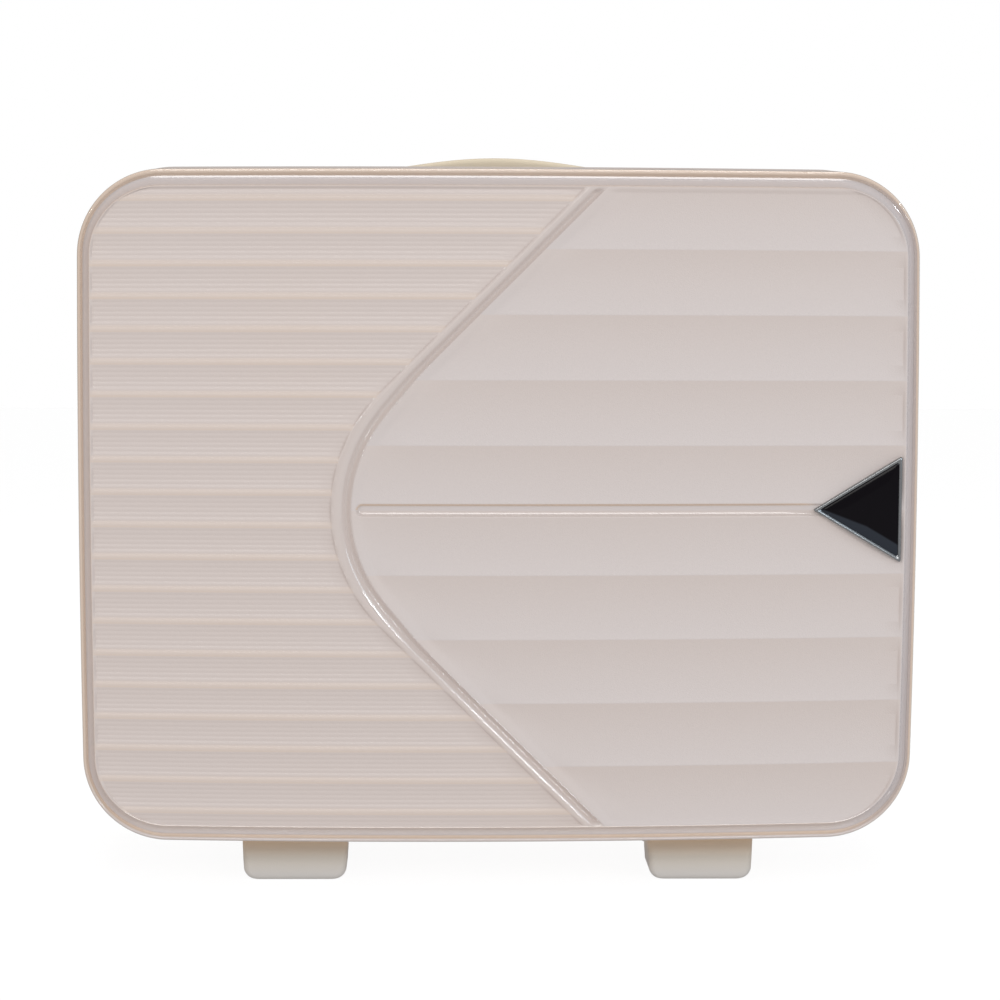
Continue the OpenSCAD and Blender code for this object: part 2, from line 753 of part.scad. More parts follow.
// Packing straps: elastic from each side of the back shell to a buckle in the middle
module right_pack_strap() color(fabric_color)
    translate([buckle_l, band_y, mid_z - band_w / 2]) cube([band_x - buckle_l, band_t, band_w]);
module left_pack_strap() color(fabric_color)
    translate([-band_x, band_y, mid_z - band_w / 2]) cube([band_x - buckle_l, band_t, band_w]);

// Outlines of the buckle, drawn along X and across the strap, are extruded along the depth from y
module buckle_part(y, t) {
    translate([0, y + t, mid_z]) rotate([90, 0, 0]) linear_extrude(height = t) children();
}

// Socket: open at its left end for the plug, with a window at each side for the prongs' hooks
module buckle_socket() color(dark_color) {
    half = band_w / 2 + buckle_side;
    middle_y = band_y + band_t / 2;
    difference() {
        buckle_part(middle_y - buckle_t / 2, buckle_t) polygon(concat(
            [[-buckle_seam, half], [-buckle_seam, -half]],
            arc([buckle_l - plate_r, plate_r - half], plate_r, 270, 360, 6),
            arc([buckle_l - plate_r, half - plate_r], plate_r, 0, 90, 6)));
        buckle_part(middle_y - prong_t / 2 - 0.3, prong_t + 0.6) {
            translate([-buckle_l, -prong_w - 0.3])
                square([buckle_l + prong_end + 0.6, 2 * prong_w + 0.6]);
            translate([-0.4, -2 * half]) square([prong_end - 1, 4 * half]);
        }
    }
}

// Plug: a head with a guide between two prongs, whose hooks catch in the socket's windows
module buckle_plug() color(dark_color) {
    half = band_w / 2 + buckle_side;
    root = -buckle_seam - 1;
    guide = 2.2;
    middle_y = band_y + band_t / 2;
    buckle_part(middle_y - buckle_t / 2, buckle_t) polygon(concat(
        [[-buckle_seam - 0.3, -half], [-buckle_seam - 0.3, half]],
        arc([plate_r - buckle_l, half - plate_r], plate_r, 90, 180, 6),
        arc([plate_r - buckle_l, plate_r - half], plate_r, 180, 270, 6)));
    buckle_part(middle_y - prong_t / 2, prong_t) {
        translate([root, -guide]) square([prong_end - root, 2 * guide]);
        for (side = [0, 1]) mirror([0, side]) polygon([
            [root, prong_w - 3.7], [-guide * 2, prong_w - 3.7], [prong_end, prong_w - 3],
            [prong_end, prong_w - 1], [guide, prong_w + 2.4], [0, prong_w + 2.4], [0, prong_w],
            [root, prong_w]]);
    }
}

// Open pocket across the lower half of the lid, with an elastic band along its mouth
module pocket_slab(z, h, t) {
    intersection() {
        translate([-half_w, -bead_y - 4 - t, z]) cube([case_w, t, h]);
        to_front() linear_extrude(height = shell_depth)
            panel_outline(wall + lining_gap + lining_t + 0.6);
    }
}
module lid_pocket() color(fabric_color) pocket_slab(0, pocket_top, pocket_t);
module pocket_band() color(fabric_color) pocket_slab(pocket_top + eps, 8, 2);

centred() back_shell();
centred() front_shell();
centred() rear_feet();
centred() front_feet();
centred() rear_foot_screws();
centred() front_foot_screws();
centred() rear_zip_tape();
centred() front_zip_tape();
centred() rear_zip_teeth();
centred() front_zip_teeth();
centred() zip_stops();
centred() left_slider();
centred() right_slider();
centred() left_pull();
centred() right_pull();
centred() hinge_cord();
centred() rear_hinge_welt();
centred() front_hinge_welt();
centred() handle_grip();
centred() handle_core();
centred() handle_brackets();
centred() handle_housings();
centred() handle_springs();
centred() handle_washers();
centred() handle_screws();
centred() badge_frame();
centred() badge_insert();
centred() luggage_strap();
centred() strap_plates();
centred() strap_rivets();
centred() rear_lining();
centred() front_lining();
centred() left_pack_strap();
centred() right_pack_strap();
centred() buckle_socket();
centred() buckle_plug();
centred() lid_pocket();
centred() pocket_band();
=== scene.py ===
import math

import bpy
import bmesh
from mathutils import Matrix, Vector
import numpy as np


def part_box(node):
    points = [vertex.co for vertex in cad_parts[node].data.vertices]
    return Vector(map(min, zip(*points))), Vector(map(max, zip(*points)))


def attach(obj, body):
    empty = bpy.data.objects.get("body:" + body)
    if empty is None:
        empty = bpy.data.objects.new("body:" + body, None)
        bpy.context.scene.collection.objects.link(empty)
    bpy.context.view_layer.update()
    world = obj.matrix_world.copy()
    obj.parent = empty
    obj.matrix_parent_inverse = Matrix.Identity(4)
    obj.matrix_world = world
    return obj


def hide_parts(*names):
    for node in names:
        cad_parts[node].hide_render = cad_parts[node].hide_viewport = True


# The organizer case: a zipped pair of fluted shells on four feet, with a sprung carry handle.
# Lengths are in metres. A shell has its own frame: x to the right of its face, z up from the middle of the
# case, and s the depth from the middle of the zip out to the face. u is the distance in from the outline.
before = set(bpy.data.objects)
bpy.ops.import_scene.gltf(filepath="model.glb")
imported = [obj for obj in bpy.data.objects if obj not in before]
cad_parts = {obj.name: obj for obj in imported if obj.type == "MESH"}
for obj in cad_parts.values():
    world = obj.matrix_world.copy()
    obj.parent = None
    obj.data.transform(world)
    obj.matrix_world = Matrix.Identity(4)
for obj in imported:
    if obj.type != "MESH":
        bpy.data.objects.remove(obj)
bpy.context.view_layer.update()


# Shells
# Two thermoformed polycarbonate shells, 2.2 mm thick, from one mould: a beaded rim, a leaning wall, a rolled
# edge, a polished cove and a fluted face. Narrow ribbed flutes and wide grained ones meet at an arrow groove.
front_low, front_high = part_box("front_shell")
back_low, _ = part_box("back_shell")
half_w = (front_high.x - front_low.x) / 2
half_h = (front_high.z - front_low.z) / 2
mid_z = (front_high.z + front_low.z) / 2
zip_y = (front_high.y + back_low.y) / 2
rim_s = (back_low.y - front_high.y) / 2
face_s = zip_y - front_low.y
corner_r = 0.034
foot_x = 0.0775
bulge = 0.456
bulge_x = -0.0216
bulge_z = 0.0521
bulge_r = 0.1924

bead_s = rim_s + 0.008
bead_t = 0.0045
wall_t = 0.0022
lean = 0.0022
roll_r = 0.0009
cove_d = 0.0027
cove_in = 0.0046
lip_in = 0.0078
panel_in = 0.0083
wall_low = bead_s + 0.0004
wall_high = face_s - 0.0022
inner_s = face_s - 0.0044
chamfer = 0.004


def bulged(x, z):
    """World x and height of a point, moved out from the bulge's middle.

    It moves by bulge times (bulge_r squared - its distance squared), as a share of its distance."""
    dx, dz = x - bulge_x, z - bulge_z
    more = 1 + bulge * (bulge_r**2 - dx * dx - dz * dz)
    return bulge_x + dx * more, mid_z + bulge_z + dz * more


def placed(x, s, z, facing):
    """World points from the shell's frame: facing is -1 for the front shell and 1 for the back one."""
    across, height = bulged(-facing * x, z)
    return np.stack([across, zip_y + facing * s, height], axis=-1)


def outline(counts, corner_n, inset=0):
    """Points of the rounded rectangle, anticlockwise from the lower right, and their outward directions.

    counts are the points along the right, top, left and bottom, and corner_n those on a quarter circle. inset
    draws the whole outline in, its corners to a smaller radius. In complex numbers, x + iz, each side is
    worked out as the right one and then turned by a power of i."""
    r = corner_r - inset
    corner = np.exp(1j * np.linspace(0, math.pi / 2, corner_n, endpoint=False))
    points, outward = [], []
    for k, count in enumerate(counts):
        reach, half = (half_h, half_w - corner_r) if k % 2 else (half_w, half_h - corner_r)
        along = 1j * np.linspace(-half, half, count, endpoint=False)
        points.append(1j**k * np.append(reach - inset + along, reach - inset - r + 1j * half + r * corner))
        outward.append(1j**k * np.append(np.ones(count), corner))
    points, outward = np.concatenate(points), np.concatenate(outward)
    return points.real, points.imag, outward.real, outward.imag


def grid_faces(rows, columns, closed=False, start=0):
    """Corners of each cell of a grid whose first point is start. closed joins its last row to the first."""
    i, j = np.meshgrid(np.arange(rows if closed else rows - 1), np.arange(columns - 1), indexing="ij")
    a, b = i * columns + j, (i + 1) % rows * columns + j
    return start + np.stack([a, b, b + 1, a + 1], axis=-1).reshape(-1, 4)


def linked(name, data):
    """A new object in the scene."""
    made = bpy.data.objects.new(name, data)
    bpy.context.scene.collection.objects.link(made)
    return made


def finished(name, mesh, form, finish, sharp):
    """An object of the mesh, filled from the form, smooth but where edges turn by over sharp degrees."""
    form.to_mesh(mesh)
    form.free()
    mesh.shade_smooth()
    mesh.set_sharp_from_angle(angle=math.radians(sharp))
    mesh.materials.append(finish.material)
    return linked(name, mesh)


def piece(name, points, faces, finish, sharp=35, **values):
    """A mesh object from points and faces. values are numbers at the points, which the material reads."""
    mesh = bpy.data.meshes.new(name)
    mesh.from_pydata(points.reshape(-1, 3).tolist(), [], [list(f) for f in faces])
    for label, numbers in values.items():
        layer = mesh.attributes.new(label, "FLOAT", "POINT")
        layer.data.foreach_set("value", np.asarray(numbers, np.float32).ravel())
    form = bmesh.new()
    form.from_mesh(mesh)
    bmesh.ops.remove_doubles(form, verts=form.verts, dist=1e-6)
    return finished(name, mesh, form, finish, sharp)


class Value:
    """A shader socket in an expression: each operator adds the Math node it names."""

    def __init__(self, finish, socket):
        self.finish, self.socket = finish, socket

    def math(self, operation, first, second):
        return self.finish.node("Math", {"operation": operation}, {0: first, 1: second})

    def __add__(self, other):
        return self.math("ADD", self, other)

    def __sub__(self, other):
        return self.math("SUBTRACT", self, other)

    def __rsub__(self, other):
        return self.math("SUBTRACT", other, self)

    def __mul__(self, other):
        return self.math("MULTIPLY", self, other)

    def __pow__(self, other):
        return self.math("POWER", self, other)

    __radd__ = __add__


class Finish:
    """A material built from nodes round one Principled shader, whose constants are set on its own sockets."""

    def __init__(self, name, **constants):
        self.material = bpy.data.materials.new(name)
        self.material.use_nodes = True
        self.tree = self.material.node_tree
        self.shader = self.tree.nodes["Principled BSDF"]
        for label, value in constants.items():
            self.put(self.shader.inputs[label.replace("_", " ")], value)

    def put(self, socket, value):
        """Links a Value to the socket, or sets a plain number or colour on it."""
        if isinstance(value, Value):
            self.tree.links.new(value.socket, socket)
        elif socket.type == "RGBA":
            socket.default_value = (*value, 1)
        else:
            socket.default_value = value

    def node(self, kind, settings, inputs, output=0):
        """Adds a node: its settings, with a ramp's stops among them, then the values of its sockets."""
        made = self.tree.nodes.new("ShaderNode" + kind)
        for label, value in settings.items():
            if label == "stops":
                for _ in value[2:]:
                    made.color_ramp.elements.new(0.5)
                for stop, (position, shade) in zip(made.color_ramp.elements, value):
                    stop.position, stop.color = position, (*shade, 1)
            else:
                setattr(made, label, value)
        for label, value in inputs.items():
            self.put(made.inputs[label], value)
        return Value(self, made.outputs[output])

    def surface(self, label, value):
        """Feeds one socket of the shader."""
        self.put(self.shader.inputs[label], value)

    def coordinates(self, scale=(1, 1, 1)):
        """Object coordinates, scaled along each axis."""
        place = self.node("TexCoord", {}, {}, "Object")
        return self.node("Mapping", {}, {"Vector": place, "Scale": scale})

    def noise(self, scale, detail=2.0, stretch=(1, 1, 1)):
        """Noise from 0 to 1 with that many cells to a metre."""
        place = self.coordinates(stretch)
        return self.node("TexNoise", {}, {"Vector": place, "Scale": scale, "Detail": detail})

    def stored(self, label):
        """The number that each point has under that name."""
        return self.node("Attribute", {"attribute_name": label}, {}, "Fac")

    def axis(self, k):
        """The object coordinate along X, Y or Z, for k from 0 to 2."""
        return self.node("SeparateXYZ", {}, {"Vector": self.coordinates()}, k)

    def mixed(self, share, first, second):
        """Blends two colours."""
        return self.node("Mix", {"data_type": "RGBA"}, {0: share, 6: first, 7: second}, 2)

    def relief(self, height, depth):
        """Bumps the surface by a height from 0 to 1, times the depth in metres."""
        bump = self.node("Bump", {}, {"Height": height, "Distance": depth, "Strength": 1.0})
        self.surface("Normal", bump)


def shell_plastic():
    """Polycarbonate whose points say how polished it is and which painted tint it takes.

    The shade tint is lilac grey at 0, cream at a half and orange at 1: painted shade, highlight and
    reflection over the plain colour at a half."""
    plastic = Finish("shell_plastic", Specular_IOR_Level=0.5, Coat_Roughness=0.05)
    polish = plastic.stored("polish")
    grain = plastic.noise(2600, 3.0)
    warmth = plastic.stored("warmth") + plastic.noise(9) * 0.12 - 0.06
    # The stored shade tint paints shade, highlight and reflection into the base colour.
    stops = [(0.0, (0.655, 0.602, 0.598)), (0.5, (0.672, 0.580, 0.540)), (1.0, (0.73, 0.555, 0.42))]
    plastic.surface("Base Color", plastic.node("ValToRGB", {"stops": stops}, {"Fac": warmth}))
    plastic.surface("Roughness", 0.5 - polish * 0.42 + grain * (1 - polish) * 0.1)
    plastic.surface("Coat Weight", polish**3)
    plastic.relief(grain * (1 - polish), 0.00009)
    return plastic


shell_finish = shell_plastic()

flute_pitch = 0.0243
flute_d = 0.0015
rib_pitch = 0.01215
rib_d = 0.00075
crest_sink = 0.00015
fine_n = 7
fine_d = 0.00012
arrow_x = 0.0017
arrow_r = 0.0612
land_w = 0.0035
arm_land_w = 0.0022
groove_w = 0.0037
arm_groove_w = 0.0032
groove_d = 0.0018
land_rise = 0.0002
spine_w = 0.005
spine_d = 0.0021
spine_inset = 0.0018
fade_w = 0.009
side_flute_d = 0.0008


def smooth(t):
    """0 below 0, 1 above 1 and 3t^2 - 2t^3 between."""
    t = np.clip(t, 0, 1)
    return t * t * (3 - 2 * t)


def beyond_arrow(x, z):
    """Distance to the left of the arrow's outer edge, a circle that goes on into two 45 degree arms."""
    dx, dz = -(x + arrow_x), np.abs(z)
    return np.where(dz <= dx, np.hypot(dx, dz), (dx + dz) / math.sqrt(2)) - arrow_r


def arrow_line(z, beyond):
    """x of the line that runs that far beyond the arrow's outer edge."""
    r, dz = arrow_r + beyond, np.abs(z)
    arm = math.sqrt(2) * r - dz
    round_part = np.sqrt(np.maximum(r * r - z * z, 0))
    return -arrow_x - np.where(dz <= r * math.sqrt(0.5), round_part, arm)


def border_share(nx, nz):
    """The border's width by its outward direction: slimmer down the sides and wider along the top."""
    return 1 - 0.2 * nx**2 + 0.09 * np.maximum(0, nz)**2


def face_edges(side):
    """Heights and distances from the middle down a side of the face, whose edge lies 0.3 mm under the lip."""
    turn = np.concatenate([np.linspace(-math.pi / 2, 0, 60), np.linspace(0, math.pi / 2, 60)])
    upper = np.arange(120) >= 60
    r = corner_r - lean - (panel_in - 0.0003 - lean) * border_share(side * np.cos(turn), np.sin(turn))
    heights = np.where(upper, 1, -1) * (half_h - corner_r) + r * np.sin(turn)
    return heights, half_w - corner_r + r * np.cos(turn)


left_z, left_x = face_edges(-1)
right_z, right_x = face_edges(1)


def scallop(t, pitch, depth):
    """Concave flutes, crests at whole pitches: minus the depth times 1 - (offset from the middle)^2."""
    offset = np.mod(t, pitch) / pitch * 2 - 1
    return -depth * (1 - offset * offset)


def band(z):
    """Widths of the land and the arrow groove at a height, narrower on the arms than in the round."""
    arm = smooth((np.abs(z) / (arrow_r * math.sqrt(0.5)) - 0.75) / 0.5)
    return land_w + (arm_land_w - land_w) * arm, groove_w + (arm_groove_w - groove_w) * arm


def face_height(x, z, spine_end):
    """Height of the face over its lip, how polished it is, and its painted shade tint.

    From the left come ribbed flutes, the land, the arrow groove and wide flutes with a spine to spine_end."""
    beyond = beyond_arrow(x, z)
    land, groove = band(z)
    fine = np.abs(np.sin(np.pi * (z / rib_pitch + 0.5) * fine_n)) - 1
    ribbed = scallop(z + rib_pitch / 2, rib_pitch, rib_d) - crest_sink + fine_d * fine
    ribbed = ribbed * smooth(beyond / 0.0008)
    across = np.clip((beyond + land + groove / 2) / (groove / 2 + 0.0004), -1, 1)
    cut = land_rise * np.sin(np.pi * np.clip(-beyond / land, 0, 1))
    cut = cut - groove_d * (1 + np.cos(np.pi * across)) / 2
    inside = -beyond - land - groove
    faded = smooth((inside - 0.001) / fade_w)
    wide = scallop(z, flute_pitch, flute_d) * faded - crest_sink * smooth(inside / 0.001)
    wide = wide - 0.0006 * smooth((inside - 0.0006) / 0.004) * (1 - faded)
    start = -arrow_x - arrow_r + land_w + groove_w + spine_inset
    off = np.hypot(z, np.maximum(0, spine_w / 2 - np.minimum(x - start, spine_end - x))) / (spine_w / 2)
    spine = 0.65 * smooth((1 - off) / 0.38) + 0.35 * np.clip(1 - off**2, 0, 1)
    wide = wide * (1 - spine) - spine_d * spine
    height = np.where(beyond > 0, ribbed, np.where(inside > 0, wide, cut))
    polish = np.where(beyond > 0.0003, 0.35, np.where(inside > 0.0003, 0.85 * smooth(spine * 3), 1.0))
    polish = np.where(np.abs(beyond + 0.0003) < 0.0009, 0.55, polish)
    # Painted highlight just above each rib's crest, and painted shade just below the next crest.
    rib = np.mod(z / rib_pitch + 0.5, 1)
    rib_highlight_shade = 0.5 + 0.12 * smooth((0.2 - rib) / 0.1) + 0.2 * smooth((rib - 0.93) / 0.04)
    # Painted shade on the wide flutes, deepening up to the crest above, and painted shadow on the spine's
    # upper wall.
    flute_shade_tint = 0.27 + 0.23 * np.mod(z / flute_pitch, 1) + 0.6 * ((z > 0) & (spine > 0.01) & (spine < 0.8))
    warmth = np.where(beyond > 0, rib_highlight_shade, np.where(inside > 0, flute_shade_tint, 0.5))
    inset = np.minimum(x + np.interp(z, left_z, left_x), np.interp(z, right_z, right_x) - x)
    inset = np.minimum(inset, np.minimum(left_z[-1] - z, z - left_z[0])) - 0.0003
    return height * smooth(inset / np.where(beyond > 0, 0.001, 0.0022)) - 0.00003, polish, warmth


def face_grid(spine_end):
    """Points of a fluted face, in rows a sixth of a fine rib apart and columns along the arrow's lines."""
    step = rib_pitch / fine_n / 6
    rows = np.arange(int(left_z[0] / step), int(left_z[-1] / step) + 1) * step
    rows = np.concatenate([left_z[:1], rows, left_z[-1:]])
    low, high = -np.interp(rows, left_z, left_x), np.interp(rows, right_z, right_x)
    land, groove = band(rows)
    border = np.array([0, 0.0004, 0.0008, 0.0012])[:, None]
    left = low + 0.0015 + (arrow_line(rows, 0.0009) - low - 0.0015) * np.linspace(0, 1, 18)[:, None]
    left = np.concatenate([low + border, left])
    lines = [0.0006, 0.0003, 0, -land * 0.35, -land * 0.7]
    lines += [-land - groove * k for k in np.linspace(0, 1, 13)]
    lines += [-land - groove - d for d in
              (0.0003, 0.0006, 0.001, 0.0015, 0.002, 0.0025, 0.003, 0.0036, 0.0043, 0.0052)]
    middle = np.stack([arrow_line(rows, d) for d in lines])
    start = middle[-1]
    right = start + (high - 0.0015 - start) * np.linspace(0, 1, 28)[1:, None]
    right = np.concatenate([right, high - border[::-1]])
    x = np.concatenate([left, middle, right]).T
    x = np.clip(x, low[:, None], high[:, None])
    z = np.repeat(rows[:, None], x.shape[1], axis=1)
    height, polish, warmth = face_height(x, z, spine_end)
    return x, z, face_s + height, polish, warmth


def shell_profile():
    """(u, s) round a wall, from the inner face out over the bead, the rolled edge, the cove and the lip."""
    arc = np.linspace(math.pi, 0.1, 11)
    roll_s = face_s - 0.001 - roll_r + roll_r * np.sin(arc) * 1.8
    roll = np.stack([lean + roll_r + roll_r * np.cos(arc), np.minimum(roll_s, face_s - 0.0001)], 1)
    t = np.linspace(0, 1, 9)
    cove = np.stack([cove_in + (lip_in - cove_in) * t, face_s - cove_d + (cove_d - 0.0003) * t**2], 1)
    inner = [[lean + wall_t + chamfer, inner_s], [lean + wall_t + 0.0012, inner_s - 0.0012],
             [lean + wall_t, inner_s - chamfer]]
    inner += [[wall_t + lean * k, bead_s + 0.0025 + k * (inner_s - chamfer - bead_s - 0.0025)]
              for k in (0.8, 0.6, 0.4, 0.2, 0)]
    bead = [[bead_t, bead_s], [bead_t, rim_s + 0.0006], [bead_t - 0.0006, rim_s], [0.0008, rim_s],
            [0.0002, rim_s + 0.0002], [0, rim_s + 0.0008], [0, bead_s - 0.0006], [0.0001, bead_s]]
    wall = [[0.0001 + (lean - 0.0001) * k, wall_low + (wall_high - wall_low) * k]
            for k in np.arange(16) / 16]
    lip = [[lip_in + 0.0001, face_s - 0.0001], [lip_in + 0.0003, face_s], [panel_in - 0.0002, face_s],
           [panel_in, face_s - 0.00005], [panel_in, face_s - 0.0026]]
    return np.concatenate([inner, bead, wall, roll, [[cove_in - 0.0004, face_s - 0.0020]], cove, lip])


def side_flutes(x, z, s):
    """Depth of the shallow flutes down the outside of the left wall, at the narrow pitch."""
    between = smooth((s - bead_s - 0.005) / 0.003) * smooth((face_s - 0.007 - s) / 0.003)
    n = math.floor((half_h - corner_r) / rib_pitch) - 0.5
    here = (x < -half_w + 0.001) & (np.abs(z) < n * rib_pitch)
    return -scallop(z + rib_pitch / 2, rib_pitch, side_flute_d) * between * here


def window(first, last, low, high):
    """Ring indices (point, row) round the cells between two points and two rows, in the cells' own order."""
    loop = [(i, low) for i in range(first, last)] + [(last, j) for j in range(low, high)]
    loop += [(i, high) for i in range(last, first, -1)] + [(first, j) for j in range(high, low, -1)]
    return np.array(loop)


def without_window(faces, columns, first, last, low, high):
    """Drops the cells that the window covers from a ring's faces."""
    i, j = faces[:, 0] // columns, faces[:, 0] % columns
    return faces[~((i >= first) & (i < last) & (j >= low) & (j < high))]


grip_low, grip_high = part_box("handle_grip")
handle_s = (grip_low.y + grip_high.y) / 2 - zip_y
recess_x = 0.072
recess_s = 0.0175
recess_r = 0.009
recess_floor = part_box("handle_brackets")[0].z


def recess_wall(x, s, z, slope, grow, floor_z, edge):
    """Loops from a window's points in to a rounded opening and down to a floor, as points of the back shell.

    The opening is the recess grown by grow. A point keeps its direction from the opening's straight core, and
    its height follows the wall, which drops by slope a metre. edge rounds the opening and the floor."""
    core_x, core_s = recess_x - recess_r, recess_s - recess_r
    cx, cs = np.clip(x, -core_x, core_x), handle_s + np.clip(s - handle_s, -core_s, core_s)
    far = np.hypot(x - cx, s - cs)
    dx, ds = (x - cx) / far, (s - cs) / far
    loops = [placed(x, s, z, 1)]
    turns = [math.radians(turn) for turn in (0, 30, 60, 90)]
    rises, drops = [[edge * (1 - wave(turn)) for turn in turns] for wave in (math.sin, math.cos)]
    for rise, drop in zip(rises, drops):
        out = recess_r + grow + rise
        px, ps = cx + dx * out, cs + ds * out
        loops.append(placed(px, ps, z + slope * (ps - s) - drop, 1))
    for rise, drop in zip(rises, drops):
        out = recess_r + grow - drop
        px, ps = cx + dx * out, cs + ds * out
        loops.append(np.stack([-px, zip_y + ps, np.full_like(px, floor_z + rise)], axis=-1))
    return np.stack(loops, axis=1)


def shell(name, facing, spine_end):
    """One shell: the wall's profile carried round the outline, its face set into the lip, the inside closed.

    The back shell's top wall has a window, outside and inside, from which the handle's recess goes down."""
    side_n, end_n, corner_n = 44, 66, 28
    x, z, nx, nz = outline((side_n, end_n, 150, end_n), corner_n)
    profile = shell_profile()
    u, s = profile[:, 0][None], profile[:, 1][None]
    outer_row = 16
    edge_h, tint_h, wall_polish, plain_tint = 0.0075, 0.006, 0.45, 0.5
    outer = (np.arange(len(profile)) >= outer_row)[None]
    # Painted shade and reflection round the border: cream on the rolled edge, an orange line of shade between
    # the roll and the cove, lilac grey in the cove, paler towards the lip. The roll is painted less warm
    # where it faces down, the rest where it faces right, as the light falls.
    steps = [0, lean + 0.0013, lean + 0.0017, cove_in - 0.0001, cove_in + 0.0003, lip_in - 0.0004, lip_in]
    tint = np.interp(u, steps, [0.75, 0.85, 1, 1, 0.05, 0.2, 0.6])
    downward, rightward = np.maximum(0, -nz)[:, None], np.maximum(0, nx)[:, None]
    tint = tint - np.where(u < lean + 0.0015, 0.4 * downward, 0.5 * rightward)
    share = border_share(nx, nz)[:, None]
    fluted = u + outer * side_flutes(x[:, None], z[:, None], s)
    u = np.where(outer & (u > lean), lean + (u - lean) * share, fluted)
    s = np.broadcast_to(s, u.shape)
    ring_x, ring_z = x[:, None] - nx[:, None] * u, z[:, None] - nz[:, None] * u
    columns = len(profile)
    points = [placed(ring_x, s, ring_z, facing).reshape(-1, 3)]
    polish = [np.where(s > face_s - edge_h, 1.0, wall_polish).ravel()]
    warmth = [np.where(s > face_s - tint_h, tint, plain_tint).ravel()]
    walls = grid_faces(*ring_x.shape, closed=True)
    faces = [list(np.arange(len(x))[::-1] * columns)]
    if facing > 0:
        skip = side_n + corner_n
        top_x = x[skip:skip + end_n]
        first = skip + int(np.sum(top_x > recess_x + 0.003))
        last = skip + int(np.sum(top_x >= -recess_x - 0.003)) - 1
        limit = recess_s + wall_t + 0.0005
        for low, high, grow, floor_z, edge in ((outer_row, columns, 0, recess_floor, 0.0007),
                                               (2, 8, wall_t, recess_floor - wall_t, 0.0004)):
            off = profile[low:high, 1] - handle_s
            row_a, row_b = sorted((low + np.argmax(np.where(off < -limit, off, -1)),
                                   low + np.argmin(np.where(off > limit, off, 1))))
            cut = first, last, row_a, row_b
            loop = window(*cut)
            at = tuple(loop.T)
            slope = (profile[row_a, 0] - profile[row_b, 0]) / (profile[row_b, 1] - profile[row_a, 1])
            walls = without_window(walls, columns, *cut)
            cup = recess_wall(ring_x[at], s[at], ring_z[at], slope, grow, floor_z, edge)
            start = sum(len(p) for p in points)
            faces += grid_faces(*cup.shape[:2], closed=True, start=start).tolist()
            faces.append(list(start + np.arange(len(cup)) * cup.shape[1] + cup.shape[1] - 1))
            points.append(cup.reshape(-1, 3))
            polish.append(np.full(len(points[-1]), wall_polish))
            warmth.append(np.full(len(points[-1]), plain_tint))
    faces += walls.tolist()
    face_x, face_z, face_out, face_polish, face_shade_tint = face_grid(spine_end)
    start = sum(len(p) for p in points)
    points.append(placed(face_x, face_out, face_z, facing).reshape(-1, 3))
    polish.append(face_polish.ravel())
    warmth.append(face_shade_tint.ravel())
    faces += grid_faces(*face_x.shape, start=start)[:, ::-1].tolist()
    return piece(name, np.concatenate(points), faces, shell_finish, polish=np.concatenate(polish),
                 warmth=np.concatenate(warmth))


def fit(made, body, slot, *nodes):
    """Gives a piece its body and hides the solids it stands for. The slot is not used."""
    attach(made, body)
    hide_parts(*nodes)


halves = (("front", "front_shell_skin", "case_front", -1), ("rear", "back_shell_skin", "case_back", 1))
badge_low, badge_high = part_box("badge_frame")
fit(shell("front_shell_skin", -1, badge_low.x + 0.002), "case_front", "shell", "front_shell")
fit(shell("back_shell_skin", 1, -1), "case_back", "shell", "back_shell")


# Badge
# A zinc frame, die-cast and chromed, round a black insert whose clear resin top is slightly domed. Both
# are glued into a shallow seat in the face.
badge_base = badge_high.x + 0.00005
badge_tip = badge_low.x
slant = math.atan2((badge_high.z - badge_low.z) / 2, badge_base - badge_tip)
badge_rim = 0.0015
badge_top = zip_y - badge_low.y
seat_s = face_s - 0.0019


def badge_loop(inset, height, r=0.0005, n=6):
    """World points round the badge's triangle, drawn in by inset, its corners of radius r."""
    side = -badge_tip * math.sin(slant)
    normals = [0, math.pi / 2 + slant, 3 * math.pi / 2 - slant, 2 * math.pi]
    reach = np.array([badge_base, side, side, badge_base]) - inset - r
    loop = []
    for k in range(3):
        a, b = normals[k:k + 2]
        lines = [[math.cos(a), math.sin(a)], [math.cos(b), math.sin(b)]]
        centre = np.linalg.solve(lines, reach[k:k + 2])
        turn = np.linspace(a, b, n)
        loop.append(centre + r * np.stack([np.cos(turn), np.sin(turn)], axis=1))
    loop = np.concatenate(loop)
    return placed(loop[:, 0], np.full(len(loop), height), loop[:, 1], -1)


def badge_rings(sections):
    """Points and faces between the badge's loops at (inset, height)."""
    loops = np.stack([badge_loop(inset, height) for inset, height in sections], axis=1)
    return loops, grid_faces(*loops.shape[:2], closed=True).tolist()


chrome = Finish("badge_chrome", Base_Color=(0.34, 0.35, 0.36), Metallic=1.0)
chrome.surface("Roughness", 0.24 + chrome.noise(900) * 0.1)
loops, faces = badge_rings([(0.0001, seat_s), (0.0001, badge_top - 0.0005), (0.00025, badge_top - 0.00015),
                            (0.0006, badge_top), (0.0009, badge_top - 0.0001),
                            (badge_rim, badge_top - 0.0006), (badge_rim, seat_s)])
fit(piece("badge_frame_chrome", loops, faces, chrome, 50), "case_front", "badge_metal", "badge_frame")

gloss = Finish("badge_resin", Specular_IOR_Level=0.12)
gloss.surface("Roughness", 0.08 + gloss.noise(300) * 0.04)
